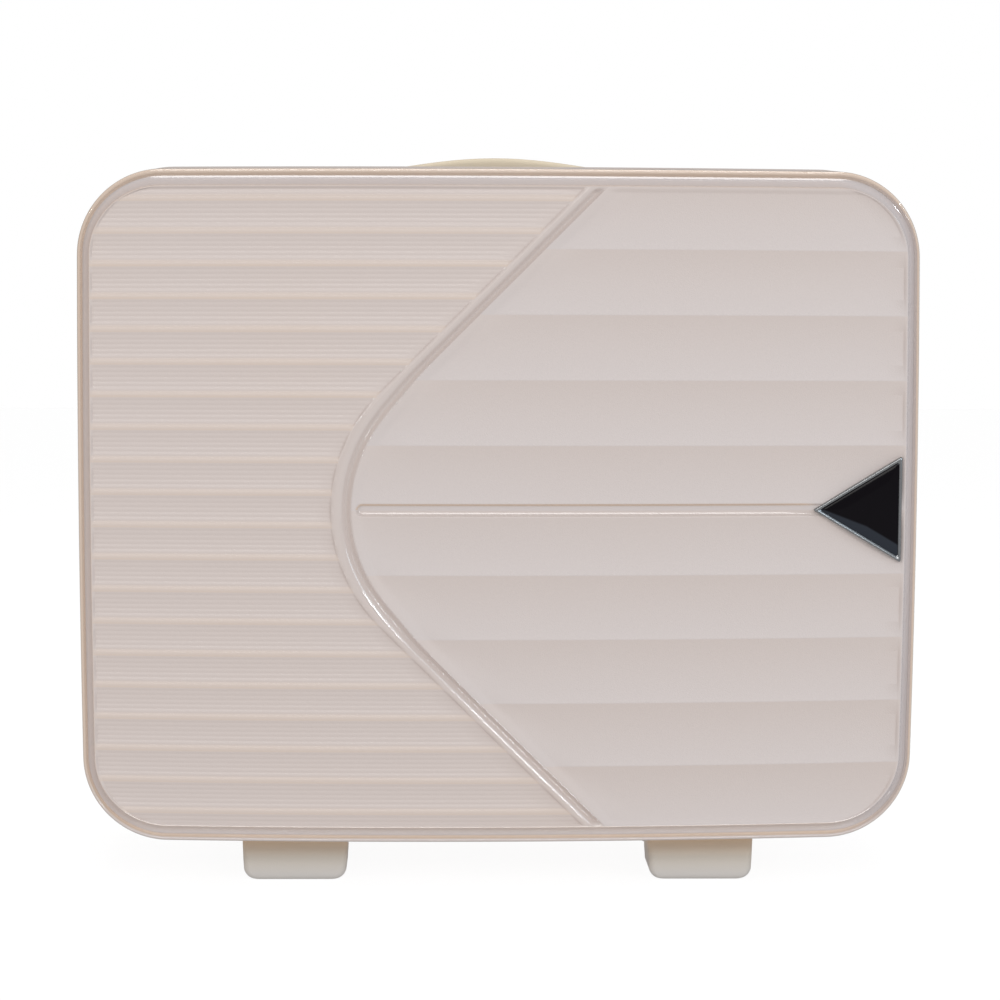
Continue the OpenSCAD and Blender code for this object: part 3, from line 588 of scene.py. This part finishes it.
# A slate band along the insert's lower slanted side, widening away from the tip, is a painted reflection in
# the domed resin; the rest is black.
along = gloss.axis(0) - badge_tip
over = along * math.sin(slant) + (gloss.axis(2) - mid_z) * math.cos(slant)
reach = gloss.node("Math", {"operation": "MINIMUM"}, {0: along, 1: 0.0215}) * 0.18 + 0.0015
below = gloss.node("MapRange", {"interpolation_type": "SMOOTHSTEP"},
                   {"Value": reach - over, "From Min": -0.0004, "From Max": 0.0004})
gloss.surface("Base Color", gloss.mixed(below, (0.004, 0.003, 0.0045), (0.027, 0.031, 0.040)))
dome_in, dome_edge, dome_h = badge_rim - 0.0003, badge_top - 0.0007, 0.0008
dome = [(dome_in, face_s - 0.0018), (dome_in, dome_edge)]
dome += [(dome_in + 0.0052 * t, dome_edge + dome_h * math.sqrt(1 - (1 - t)**2))
         for t in np.linspace(0, 1, 15)[1:]]
loops, faces = badge_rings(dome)
faces.append([k * loops.shape[1] + loops.shape[1] - 1 for k in range(len(loops))])
fit(piece("badge_insert_resin", loops, faces, gloss, 60), "case_front", "badge_gloss", "badge_insert")


# Feet
# Four moulded blocks of cream plastic with soft edges, tapering a little downwards, painted a warmer orange
# towards the shell for its bounced light and shade. Each is held by two screws that go up its counterbores
# and through the shell.
def moulded(name, colour, roughness, grain, depth=0.00003):
    """Moulded plastic: a fine grain in gloss and surface, and a faint cloudiness in its colour, if given."""
    plastic = Finish(name)
    fine = plastic.noise(grain, 3.0)
    if colour:
        darker = tuple(c * 0.94 for c in colour)
        plastic.surface("Base Color", plastic.mixed(plastic.noise(40), colour, darker))
    plastic.surface("Roughness", roughness + fine * 0.12)
    plastic.relief(fine, depth)
    return plastic


def steel(name, colour, roughness, stretch=(1, 1, 1)):
    """Plated steel with fine brushing, stretched along the axis that has the smallest factor."""
    metal = Finish(name, Metallic=1.0)
    fine = metal.noise(1500, 3.0, stretch)
    metal.surface("Base Color", metal.mixed(fine, colour, tuple(c * 0.85 for c in colour)))
    metal.surface("Roughness", roughness + fine * 0.15)
    return metal


def dress(finish, *names):
    """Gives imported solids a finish."""
    for name in names:
        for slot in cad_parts[name].material_slots:
            slot.material = finish.material


foot_finish = moulded("foot_plastic", None, 0.38, 1800)
foot_low, foot_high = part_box("front_feet")
foot_h = back_low.z
# Painted bounce light and shade: the colour turns warmer and more orange towards the shell above.
height = foot_finish.axis(2) * (1 / foot_h)
stops = [(0.15, (0.635, 0.595, 0.56)), (0.55, (0.655, 0.59, 0.51)), (1.0, (0.80, 0.595, 0.41))]
foot_finish.surface("Base Color", foot_finish.node("ValToRGB", {"stops": stops}, {"Fac": height}))
foot_l = foot_high.y - foot_low.y
foot_w = 0.0392
foot_flare = 0.0008
foot_s = zip_y - (foot_low.y + foot_high.y) / 2
foot_edge = 0.0048
foot_out = 0.0007
foot_bore = 0.0033
screw_step = foot_l / 4


def foot_ring(t, sx, facing, n=9):
    """Points round a foot at the share t of its height.

    The side edges are rounded at the bottom by foot_edge and the front and back ones by half of that."""
    up = t * foot_h
    side, end = [edge - math.sqrt(max(0, edge**2 - max(0, edge - up)**2))
                 for edge in (foot_edge, foot_edge / 2)]
    a = foot_w / 2 + foot_flare * t - side
    b = foot_l / 2 - end
    r = 0.0025 - 0.4 * min(side, end)
    points = []
    for cx, cy, start in ((a - r, b - r, 0), (r - a, b - r, 90), (r - a, r - b, 180), (a - r, r - b, 270)):
        turn = np.radians(start + np.linspace(0, 90, n))
        points.append(np.stack([cx + r * np.cos(turn), cy + r * np.sin(turn)], axis=1))
    flat = np.concatenate(points)
    s = foot_s - flat[:, 1]
    leaning = lean * np.maximum(0, s - bead_s) / (wall_high - bead_s)
    z = t * (foot_h + (leaning + 0.0012) * smooth((t - 0.3) / 0.7))
    return np.stack([sx * (foot_x + foot_out) + flat[:, 0] * facing * -1, zip_y + facing * s, z], axis=1)


def joined(form, low, high):
    """Adds the faces between two rings of points, and gives the first ring's edges."""
    cells = list(zip(low, low[1:] + low[:1], high[1:] + high[:1], high))
    for cell in cells:
        form.faces.new(cell)
    return [form.edges.get(cell[:2]) for cell in cells]


def feet(name, facing):
    """Both feet of a shell as one mesh: rings from the bottom up, and a bottom face with two counterbores."""
    form = bmesh.new()
    heights = np.concatenate([0.25 * (1 - np.cos(np.linspace(0, math.pi / 2, 9))), [0.5, 0.75, 1]])
    for sx in (-1, 1):
        rings = [[form.verts.new(p) for p in foot_ring(t, sx, facing)] for t in heights]
        edges = [joined(form, low, high) for low, high in zip(rings, rings[1:])][0]
        form.faces.new(rings[-1])
        for step in (-1, 1):
            turn = np.linspace(0, 2 * math.pi, 20, endpoint=False)
            centre = np.array([sx * foot_x, zip_y + facing * (foot_s + step * screw_step), 0])
            circle = centre + np.stack([foot_bore * np.cos(turn), foot_bore * np.sin(turn), 0 * turn], axis=1)
            mouth = [form.verts.new(p) for p in circle]
            deep = [form.verts.new(p + np.array([0, 0, foot_h / 2 - 0.0001])) for p in circle]
            edges += joined(form, mouth, deep)
            form.faces.new(deep)
        bmesh.ops.triangle_fill(form, use_beauty=True, edges=edges)
    bmesh.ops.recalc_face_normals(form, faces=form.faces)
    return finished(name, bpy.data.meshes.new(name), form, foot_finish, 40)


for side, _, body, facing in halves:
    fit(feet(f"{side}_foot_blocks", facing), body, "foot", f"{side}_feet")
screw_finish = steel("screw_steel", (0.62, 0.61, 0.60), 0.28)
dress(screw_finish, "front_foot_screws", "rear_foot_screws", "handle_screws")


# Zip
# Two woven tapes sewn inside the rims, each with a row of coil teeth. Two sliders with pull tabs meet at the
# top in the middle, and two stops are clipped on the rear row near the bottom corners.
def cloth(name, colour, pitch, roughness=0.85, depth=0.00006):
    """Plain weave: threads that cross at the pitch, from each point's run along and across the cloth."""
    woven = Finish(name)
    turns = 2 * math.pi / pitch
    warp, weft = [woven.stored(label) * turns for label in ("along", "across")]
    height = warp.math("SINE", warp, 0) * weft.math("SINE", weft, 0) * 0.5 + 0.5
    tone = height * 0.35 + woven.noise(350) * 0.65
    dark, light = [tuple(c * share for c in colour) for share in (0.72, 1.12)]
    woven.surface("Base Color", woven.mixed(tone, dark, light))
    woven.surface("Roughness", roughness - height * 0.1)
    woven.relief(height, depth)
    return woven


def zip_line(u, start, step):
    """Even points of the outline drawn in by u, all round from start metres past the bottom's middle.

    Gives x, z, the outward direction and the distance of each point."""
    side_n, end_n, corner_n = 400, 500, 160
    x, z, nx, nz = outline((side_n, end_n, side_n, end_n), corner_n, u)
    middle = len(x) - corner_n - end_n // 2
    x, z, nx, nz = [np.append(np.roll(v, -middle), v[middle]) for v in (x, z, nx, nz)]
    run = np.append(0, np.cumsum(np.hypot(np.diff(x), np.diff(z))))
    count = int((run[-1] - 2 * start) / step) + 1
    at = np.linspace(start, run[-1] - start, count)
    return [np.interp(at, run, v) for v in (x, z, nx, nz)] + [at]


tape_u = 0.0045
tape_t = 0.0009
tape_start = 0.106
tape_near = 0.0008
tape_w = 0.0115
tape_far = tape_near + tape_w
teeth_start = 0.1342
tooth_pitch = 0.0022
tooth_half = 0.00085
tooth_h = 0.0015
tape_finish = cloth("zip_tape_weave", (0.52, 0.45, 0.40), 0.0007)


def tape(name, facing):
    """A tape as a flat closed band, an outer and an inner surface, from the teeth to the bead."""
    x, z, nx, nz, at = zip_line(tape_u, tape_start, 0.004)
    s = [0.002, 0.004, 0.006, 0.009]
    s = np.array([tape_near, tape_near] + s + [tape_far, tape_far] + s[::-1] + [tape_near])
    inset = np.array([tape_t] + [0] * 6 + [tape_t] * 6) + 0 * x[:, None]
    band_x, band_z = x[:, None] - nx[:, None] * inset, z[:, None] - nz[:, None] * inset
    band = placed(band_x, s[None] + 0 * inset, band_z, facing)
    faces = grid_faces(*band.shape[:2]).tolist()
    last = (len(at) - 1) * len(s)
    faces += [list(range(len(s) - 1))[::-1], list(range(last, last + len(s) - 1))]
    made = piece(name, band, faces, tape_finish, along=np.repeat(at, len(s)), across=np.tile(s, len(at)))
    return made, at[-1] - at[0]


def zip_teeth(name, facing):
    """A row of coil teeth: rounded wedges along the tape's edge, tips between those of the other row."""
    start = teeth_start + (tooth_pitch / 2 if facing > 0 else 0)
    x, z, nx, nz = [v[:, None, None] for v in zip_line(tape_u, start, tooth_pitch)[:4]]
    arch = np.linspace(0, math.pi, 7)
    depth = np.array([-0.0005, 0, 0.0024, 0.003])
    taper = [0.5, 0.62, 1.0, 0.6]
    run = np.outer(tooth_half * np.cos(arch), taper)
    rise = np.outer(tooth_h * np.sin(arch)**0.6, taper)
    px = x - nz * run + nx * rise
    pz = z + nx * run + nz * rise
    points = placed(px, np.broadcast_to(depth, px.shape), pz, facing)
    one = grid_faces(len(arch), len(depth), closed=True)[:, ::-1].tolist()
    size = len(arch) * len(depth)
    one += [list(range(0, size, len(depth))), list(range(len(depth) - 1, size, len(depth)))[::-1]]
    faces = [[v + k * size for v in f] for k in range(len(x)) for f in one]
    return piece(name, points, faces, teeth_finish, 40)


teeth_finish = moulded("zip_teeth_nylon", (0.60, 0.53, 0.46), 0.35, 4000)
for side, skin, body, facing in halves:
    band, length = tape(f"{side}_zip_tape_weave", facing)
    fit(band, body, "zip_tape", f"{side}_zip_tape")
    fit(zip_teeth(f"{side}_zip_coil", facing), body, "zip_teeth", f"{side}_zip_teeth")
zip_metal = steel("zip_nickel", (0.70, 0.66, 0.60), 0.2)
dress(zip_metal, "left_slider", "right_slider", "left_pull", "right_pull", "zip_stops")


# Hinge
# Below, a woven welt is sewn inside each rim. The two welts' loops take turns round a thick cord, on which
# the shells swing apart.
welt_finish = cloth("welt_weave", (0.42, 0.36, 0.32), 0.0009)
cord_finish = cloth("hinge_cord_twist", (0.36, 0.31, 0.28), 0.0007)
hinge_low, hinge_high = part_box("hinge_cord")
hinge_z = (hinge_low.z + hinge_high.z) / 2
cord_r = (hinge_high.z - hinge_low.z) / 2
hinge_l = hinge_high.x - hinge_low.x
loop_r = 0.0024
loops_n = 5
web_t = 0.00045
web_near = 0.0028


def bar_faces(rings, n, flip):
    """Faces round a bar of rings of n points, then its two ends, all turned over by flip."""
    i, k = np.meshgrid(np.arange(rings - 1), np.arange(n), indexing="ij")
    j = (k + 1) % n
    cells = np.stack([i * n + k, i * n + j, (i + 1) * n + j, (i + 1) * n + k], axis=-1)
    faces = cells.reshape(-1, 4).tolist()
    faces += [list(range(n))[::-1], [(rings - 1) * n + m for m in range(n)]]
    return [face[::-1] for face in faces] if flip else faces


def turned(start, end, radius, ends, n=20, rows=24):
    """A round bar along X on the hinge's axis, its ends rounded over a length. Gives points and faces."""
    t = np.linspace(0, 1, rows)
    along = start + (end - start) * t
    edge = np.clip(np.minimum(along - start, end - along) / ends, 0, 1)
    r = radius * (0.72 + 0.28 * np.sqrt(1 - (1 - edge)**2))
    turn = np.linspace(0, 2 * math.pi, n, endpoint=False)
    points = np.stack([np.repeat(along[:, None], n, 1), zip_y + r[:, None] * np.cos(turn),
                       hinge_z + r[:, None] * np.sin(turn)], axis=-1)
    around = np.tile(turn * radius, rows)
    return points.reshape(-1, 3), bar_faces(rows, n, True), np.repeat(along, n), around


def welt(name, facing):
    """A welt: its flat web from the hinge into the rim, and every other loop round the cord."""
    points, faces, along, across = [], [], [], []
    web_s, side = np.array([web_near, tape_far, tape_far, web_near, web_near]), np.array([-1, -1, 1, 1, -1])
    x = np.linspace(-hinge_l / 2, hinge_l / 2, 41)
    wave = 0.00008 * np.sin(x * 260)
    grid = np.stack([np.repeat(x[:, None], 5, 1), zip_y + facing * np.tile(web_s, (len(x), 1)),
                     hinge_z + web_t * side[None] + wave[:, None]], axis=-1)
    cells = grid_faces(*grid.shape[:2])
    cells = (cells if facing > 0 else cells[:, ::-1]).tolist()
    points.append(grid.reshape(-1, 3))
    faces += cells + [[0, 1, 2, 3], [len(x) * 5 - k for k in (2, 3, 4, 5)]]
    along.append(np.repeat(x, 5))
    across.append(np.tile(web_s, len(x)))
    step = hinge_l / loops_n
    for i in range(0 if facing > 0 else 1, loops_n, 2):
        start = -hinge_l / 2 + i * step
        made, cells, run, turn = turned(start + 0.0003, start + step - 0.0003, loop_r, 0.0008)
        base = sum(len(p) for p in points)
        faces += [[v + base for v in f] for f in cells]
        points.append(made)
        along.append(run)
        across.append(turn)
    return piece(name, np.concatenate(points), faces, welt_finish, 50, along=np.concatenate(along),
                 across=np.concatenate(across))


for side, _, body, facing in halves[::-1]:
    fit(welt(f"{side}_welt_weave", facing), body, "welt", f"{side}_hinge_welt")
points, faces, along, across = turned(-hinge_l / 2, hinge_l / 2, cord_r, 0.001, 16, 120)
cord = piece("hinge_cord_twist", points, faces, cord_finish, 50, along=along, across=across)
fit(cord, "case_back", "welt", "hinge_cord")


# Carry handle
# A soft cream grip moulded over a steel strip. Its two pins slide in brackets on the recess floor and in the
# housings below, where springs pull the handle down.
grip_t = 0.0046
grip_edge = 0.0019
grip_end = 0.009
grip_thin = 0.0012
grip_fade = 0.0016
grip_crown = 0.0004
grip_half = (grip_high.x - grip_low.x) / 2
grip_reach = (grip_high.y - grip_low.y) / 2
arch_rise = grip_high.z - grip_low.z - grip_t
crown_rise = arch_rise + 0.0015


def grip():
    """Round-edged sections along an arch.

    With the way to an end as a quarter turn, the underside rises by its cosine squared and the top by its
    cosine to the power 1.5."""
    sections, quarter_n = 97, 9
    x = grip_half * np.sin(np.linspace(-math.pi / 2, math.pi / 2, sections))
    over = np.maximum(0, np.abs(x) - grip_half + grip_end)
    half = grip_reach - grip_end + np.sqrt(np.maximum(0, grip_end**2 - over**2))
    ends = grip_half - np.abs(x)
    thin = 1 - np.sqrt(np.clip(1 - (1 - ends / grip_fade)**2, 0, 1))
    thick = grip_t / 2 - grip_thin * thin * (ends < grip_fade)
    way = np.maximum(0, np.cos(math.pi / 2 * x / grip_half))
    turn = np.radians(np.concatenate([q + np.linspace(0, 90, quarter_n) for q in (0, 90, 180, 270)]))
    sign_y, sign_z = [np.repeat(signs, quarter_n) for signs in ((1, -1, -1, 1), (1, 1, -1, -1))]
    y = sign_y * (half[:, None] - grip_edge) + grip_edge * np.cos(turn)
    z = sign_z * (thick[:, None] - grip_edge) + grip_edge * np.sin(turn)
    crown = grip_crown * (1 - (y / half[:, None])**2) * (sign_z > 0)
    rise = np.where(sign_z > 0, crown_rise * way[:, None]**1.5, arch_rise * way[:, None]**2)
    points = np.stack([np.repeat(x[:, None], len(turn), 1), (grip_low.y + grip_high.y) / 2 + y,
                       grip_low.z + grip_t / 2 + rise + z + crown - grip_crown * (sign_z > 0)], axis=-1)
    return piece("carry_grip_skin", points, bar_faces(sections, len(turn), False), grip_finish, 50)


grip_finish = moulded("grip_soft_touch", (0.68, 0.585, 0.44), 0.48, 2400, 0.00005)
fit(grip(), "carry_handle", "grip", "handle_grip")
steel_finish = steel("handle_steel", (0.66, 0.66, 0.67), 0.25, (1, 1, 0.05))
dress(steel_finish, "handle_core", "handle_springs", "handle_washers")
dress(moulded("bracket_plastic", (0.62, 0.54, 0.43), 0.4, 1800), "handle_brackets")
black_finish = moulded("black_nylon", (0.018, 0.018, 0.02), 0.4, 2200)
dress(black_finish, "handle_housings", "buckle_socket", "buckle_plug")


# Luggage strap
# A woven elastic strap across the back face, which slips over a trolley's tube. A riveted steel plate holds
# it at each end.
rib_step = 0.0011
elastic_finish = cloth("elastic_weave", (0.40, 0.345, 0.31), rib_step, 0.8, 0.00012)


def strap(name, node, axis):
    """A flat woven strap that fills a solid's box, long along the axis, its faces ribbed across.

    The ribs are sine waves, a twentieth of its half thickness high, and the edges are rounded."""
    low, high = [np.array(corner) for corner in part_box(node)]
    wide = 2 - axis
    n = int((high[axis] - low[axis]) / (rib_step / 3))
    run = np.linspace(low[axis], high[axis], n)
    t = (high[1] - low[1]) / 2
    half = (high[wide] - low[wide]) / 2
    turn = np.radians(np.linspace(-90, 90, 7))
    across = np.concatenate([half - t + t * np.cos(turn), [half / 2, 0, -half / 2],
                             t - half - t * np.cos(turn[::-1]), [-half / 2, 0, half / 2]])
    out = np.concatenate([t * np.sin(turn), [t] * 3, t * np.sin(turn[::-1]), [-t] * 3])
    wave = 1 - 0.05 * (1 + np.sin(2 * math.pi * run / rib_step)) / 2
    points = np.zeros((n, len(across), 3))
    points[..., axis] = run[:, None]
    points[..., wide] = (low[wide] + high[wide]) / 2 + across
    points[..., 1] = (low[1] + high[1]) / 2 + out * wave[:, None]
    made = piece(name, points, bar_faces(n, len(across), axis == 0), elastic_finish, 60,
                 along=np.repeat(run, len(across)), across=np.tile(across, n))
    fit(made, "case_back", "elastic", node)


strap("luggage_strap_weave", "luggage_strap", 2)
plate_finish = steel("strap_plate_steel", (0.60, 0.59, 0.58), 0.3, (0.05, 1, 1))
dress(plate_finish, "strap_plates", "strap_rivets")


# Linings
# A tray of thin polyester cloth on foam backing in each shell, pressed to shape and glued along the rim.
# The rear one is cut away round the handle's recess.
lining_finish = cloth("lining_weave", (0.33, 0.285, 0.26), 0.0008, 0.9, 0.00004)


def lining(name, facing):
    """A cloth tray: outer and inner surfaces round the outline, closed over the face by shrinking loops."""
    x, z, nx, nz = outline((44, 66, 44, 66), 14)
    gap, thick = 0.0003, 0.001
    a, deep, start_s = wall_t + gap, inner_s - gap, bead_s + 0.0022
    rows = [[a, start_s]] + [[a + lean * k, start_s + (deep - chamfer - start_s) * k] for k in
                             (0.16, 0.33, 0.5, 0.67, 0.84, 1)]
    rows += [[a + lean + chamfer * 0.3, deep - chamfer * 0.45], [a + lean + chamfer, deep]]
    inner = [[u + thick, s - (thick if s > deep - chamfer else 0)] for u, s in rows[::-1]]
    inner[-1][1] = start_s
    profile = np.array(inner + rows)
    u, s = profile[:, 0][None] + 0 * x[:, None], profile[:, 1][None] + 0 * x[:, None]
    ring_x, ring_z = x[:, None] - nx[:, None] * u, z[:, None] - nz[:, None] * u
    columns = len(profile)
    faces = grid_faces(*ring_x.shape, closed=True)
    extra = []
    if facing > 0:
        top = (np.abs(ring_z[:, 0]) > half_h - 0.02) & (ring_z[:, 0] > 0) & (np.abs(x) < recess_x + 0.005)
        first, last = np.flatnonzero(top)[[0, -1]]
        low, high, last_row = 2, 7, columns - 1
        inside = window(first, last, low, high)
        faces = without_window(faces, columns, first, last, low, high)
        faces = without_window(faces, columns, first, last, last_row - high, last_row - low)
        near = inside @ (columns, 1)
        far = inside @ (columns, -1) + last_row
        extra = np.stack([np.roll(far, -1), far, near, np.roll(near, -1)], axis=1).tolist()
    points = [placed(ring_x, s, ring_z, facing).reshape(-1, 3)]
    faces = faces.tolist() + extra
    along = [np.repeat(np.append(0, np.cumsum(np.hypot(np.diff(x), np.diff(z)))), columns)]
    across = [s.ravel()]
    rng = np.random.default_rng(7)
    waves = [(rng.uniform(20, 60), rng.uniform(20, 60), rng.uniform(0, 6)) for _ in range(6)]
    for column, depth, flip in ((0, inner[0][1], True), (columns - 1, deep, False)):
        steps = 20
        share = np.linspace(1, 0.02, steps)
        lx, lz = ring_x[:, column][:, None] * share, ring_z[:, column][:, None] * share
        ripple = sum(np.sin(fx * lx + fz * lz + p) for fx, fz, p in waves) / 6
        ripple = ripple * smooth((1 - share) / 0.25) * (0.0007 if flip else 0)
        grid = placed(lx, depth - np.abs(ripple), lz, facing)
        base = sum(len(p) for p in points)
        cells = grid_faces(*grid.shape[:2], closed=True, start=base)
        faces += (cells[:, ::-1] if flip else cells).tolist()
        cap = [base + (q + 1) * steps - 1 for q in range(len(grid))]
        faces.append(cap[::-1] if flip else cap)
        points.append(grid.reshape(-1, 3))
        along.append(lx.ravel())
        across.append(lz.ravel())
    return piece(name, np.concatenate(points), faces, lining_finish, 40, along=np.concatenate(along),
                 across=np.concatenate(across))


for side, _, body, facing in halves:
    made = lining(f"{side}_lining_cloth", facing)
    fit(made, body, "lining", f"{side}_lining")


# Packing straps
# Elastic webbing from each side of the back shell to a side-release buckle in the middle.
for side in ("left", "right"):
    strap(f"{side}_strap_weave", f"{side}_pack_strap", 0)


# Lid pocket
# A gathered cloth pocket across the lower half of the lid. An elastic band is sewn along its mouth.
fold_pitch = 0.012
fold_h = 0.0012


def gathered(name, node, slot, r, finish, folds_at_foot):
    """A standing cloth panel in the lid, in sine wave folds that are higher at the mouth than at the foot.

    The panel keeps inside the case's outline, whose lower corners have the radius r. Laid flat, it is wider
    than the solid."""
    low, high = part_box(node)
    x = np.linspace(-1, 1, int((high.x - low.x) / (fold_pitch / 8)) + 1)
    z = np.linspace(0, 1, 41)
    level = low.z + (high.z - low.z) * z
    drop = np.clip(low.z + r - level, 0, r)
    half = (high.x - low.x) / 2 - r + np.sqrt(np.maximum(0, r * r - drop * drop))
    px = half[:, None] * x[None]
    depth = (high.y - low.y) / 2
    strength = folds_at_foot + (1 - folds_at_foot) * z**2
    wave = fold_h * np.sin(2 * math.pi * px / fold_pitch) * strength[:, None]
    wave = wave * (1 + 0.3 * np.sin(px * 61 + 1.3)) * smooth((1 - np.abs(x)) / 0.03)
    middle = (low.y + high.y) / 2 - wave
    shells = [np.stack([px, middle + side * depth * 0.9, np.repeat(level[:, None], len(x), 1)], axis=-1)
              for side in (-1, 1)]
    rows, columns = px.shape
    front = grid_faces(rows, columns)[:, ::-1]
    back = grid_faces(rows, columns, start=rows * columns)
    rim = window(0, rows - 1, 0, columns - 1) @ (columns, 1)
    after = np.roll(rim, -1)
    sides = np.stack([rim, rim + rows * columns, after + rows * columns, after], axis=1)
    points = np.concatenate([s.reshape(-1, 3) for s in shells])
    made = piece(name, points, np.concatenate([front, back, sides]).tolist(), finish, 60,
                 along=np.tile(px.ravel(), 2), across=np.tile(np.repeat(level, columns), 2))
    fit(made, "case_front", slot, node)


gathered("lid_pocket_cloth", "lid_pocket", "lining", corner_r - 0.0041, lining_finish, 0.15)
gathered("pocket_band_weave", "pocket_band", "elastic", 0, elastic_finish, 1.0)


# Floor and light
# A pale floor that lets most light through, so that it takes a faint shadow and the white room shows.
floor_finish = Finish("floor_finish", Base_Color=(0.9, 0.9, 0.9), Roughness=0.9, Alpha=0.16,
                      Emission_Color=(1, 1, 1), Emission_Strength=0.5)
corners = np.array([(-4, -4, -0.0002), (4, -4, -0.0002), (4, 4, -0.0002), (-4, 4, -0.0002)])
piece("floor", corners, [(0, 1, 2, 3)], floor_finish)


class Room(Finish):
    """The world's own nodes, whose shader is its background."""

    def __init__(self, world):
        world.use_nodes = True
        self.tree = world.node_tree
        self.shader = self.tree.nodes["Background"]


world = bpy.context.scene.world or bpy.data.worlds.new("room")
bpy.context.scene.world = world
room = Room(world)
straight, through, mirrored = [room.node("LightPath", {}, {}, f"Is {kind} Ray")
                               for kind in ("Camera", "Transmission", "Glossy")]
seen = straight.math("MAXIMUM", straight, through)
room.surface("Strength", seen * 0.5 + 0.5 - mirrored * 0.2)
room.surface("Color", (1, 1, 1))


def soft_box(name, place, target, width, height, watts, tint):
    """A rectangular light at a place, turned to a target."""
    light = bpy.data.lights.new(name, "AREA")
    light.shape, light.size, light.size_y = "RECTANGLE", width, height
    light.energy, light.color = watts, tint
    made = linked(name, light)
    made.location = place
    made.rotation_euler = (Vector(target) - Vector(place)).to_track_quat("-Z", "Y").to_euler()


soft_box("key", (0.05, -2.85, 1.4), (0, 0, 0.13), 1.1, 1.1, 18.6, (1, 0.98, 0.955))
soft_box("fill", (1.6, -1.2, 0.85), (0, 0, 0.15), 0.9, 0.9, 6.5, (0.68, 0.86, 1))
soft_box("left_box", (-1.1, -1.3, 0.75), (0, 0, 0.15), 0.12, 0.16, 3, (0.96, 0.98, 1))
soft_box("right_box", (1.05, -1.8, 0.74), (0, 0, 0.15), 0.12, 0.2, 4, (0.9, 0.95, 1))
soft_box("top_box", (0, 0.1, 1.5), (0, 0.05, 0.15), 0.8, 0.5, 6, (1, 0.98, 0.95))


# Camera
# It stands level with the case's middle and a little above, square to the front face, with a long lens.
distance = 1.3
rise, yaw, roll = [math.radians(turn) for turn in (4.1, 1.19, -0.15)]
pixel = 0.0003773
aim = Vector((-0.0002, front_low.y, mid_z + 0.0033))
camera_data = bpy.data.cameras.new("camera")
camera = linked("camera", camera_data)
bpy.context.scene.camera = camera
camera.location = aim + distance * Vector((-math.sin(yaw) * math.cos(rise), -math.cos(yaw) * math.cos(rise),
                                           math.sin(rise)))
camera.rotation_euler = (math.pi / 2 - rise, roll, -yaw)
camera_data.sensor_width = 36
camera_data.lens = 36 * distance / (1000 * pixel)
camera_data.clip_end = 20
bpy.context.scene.view_settings.view_transform = "Standard"
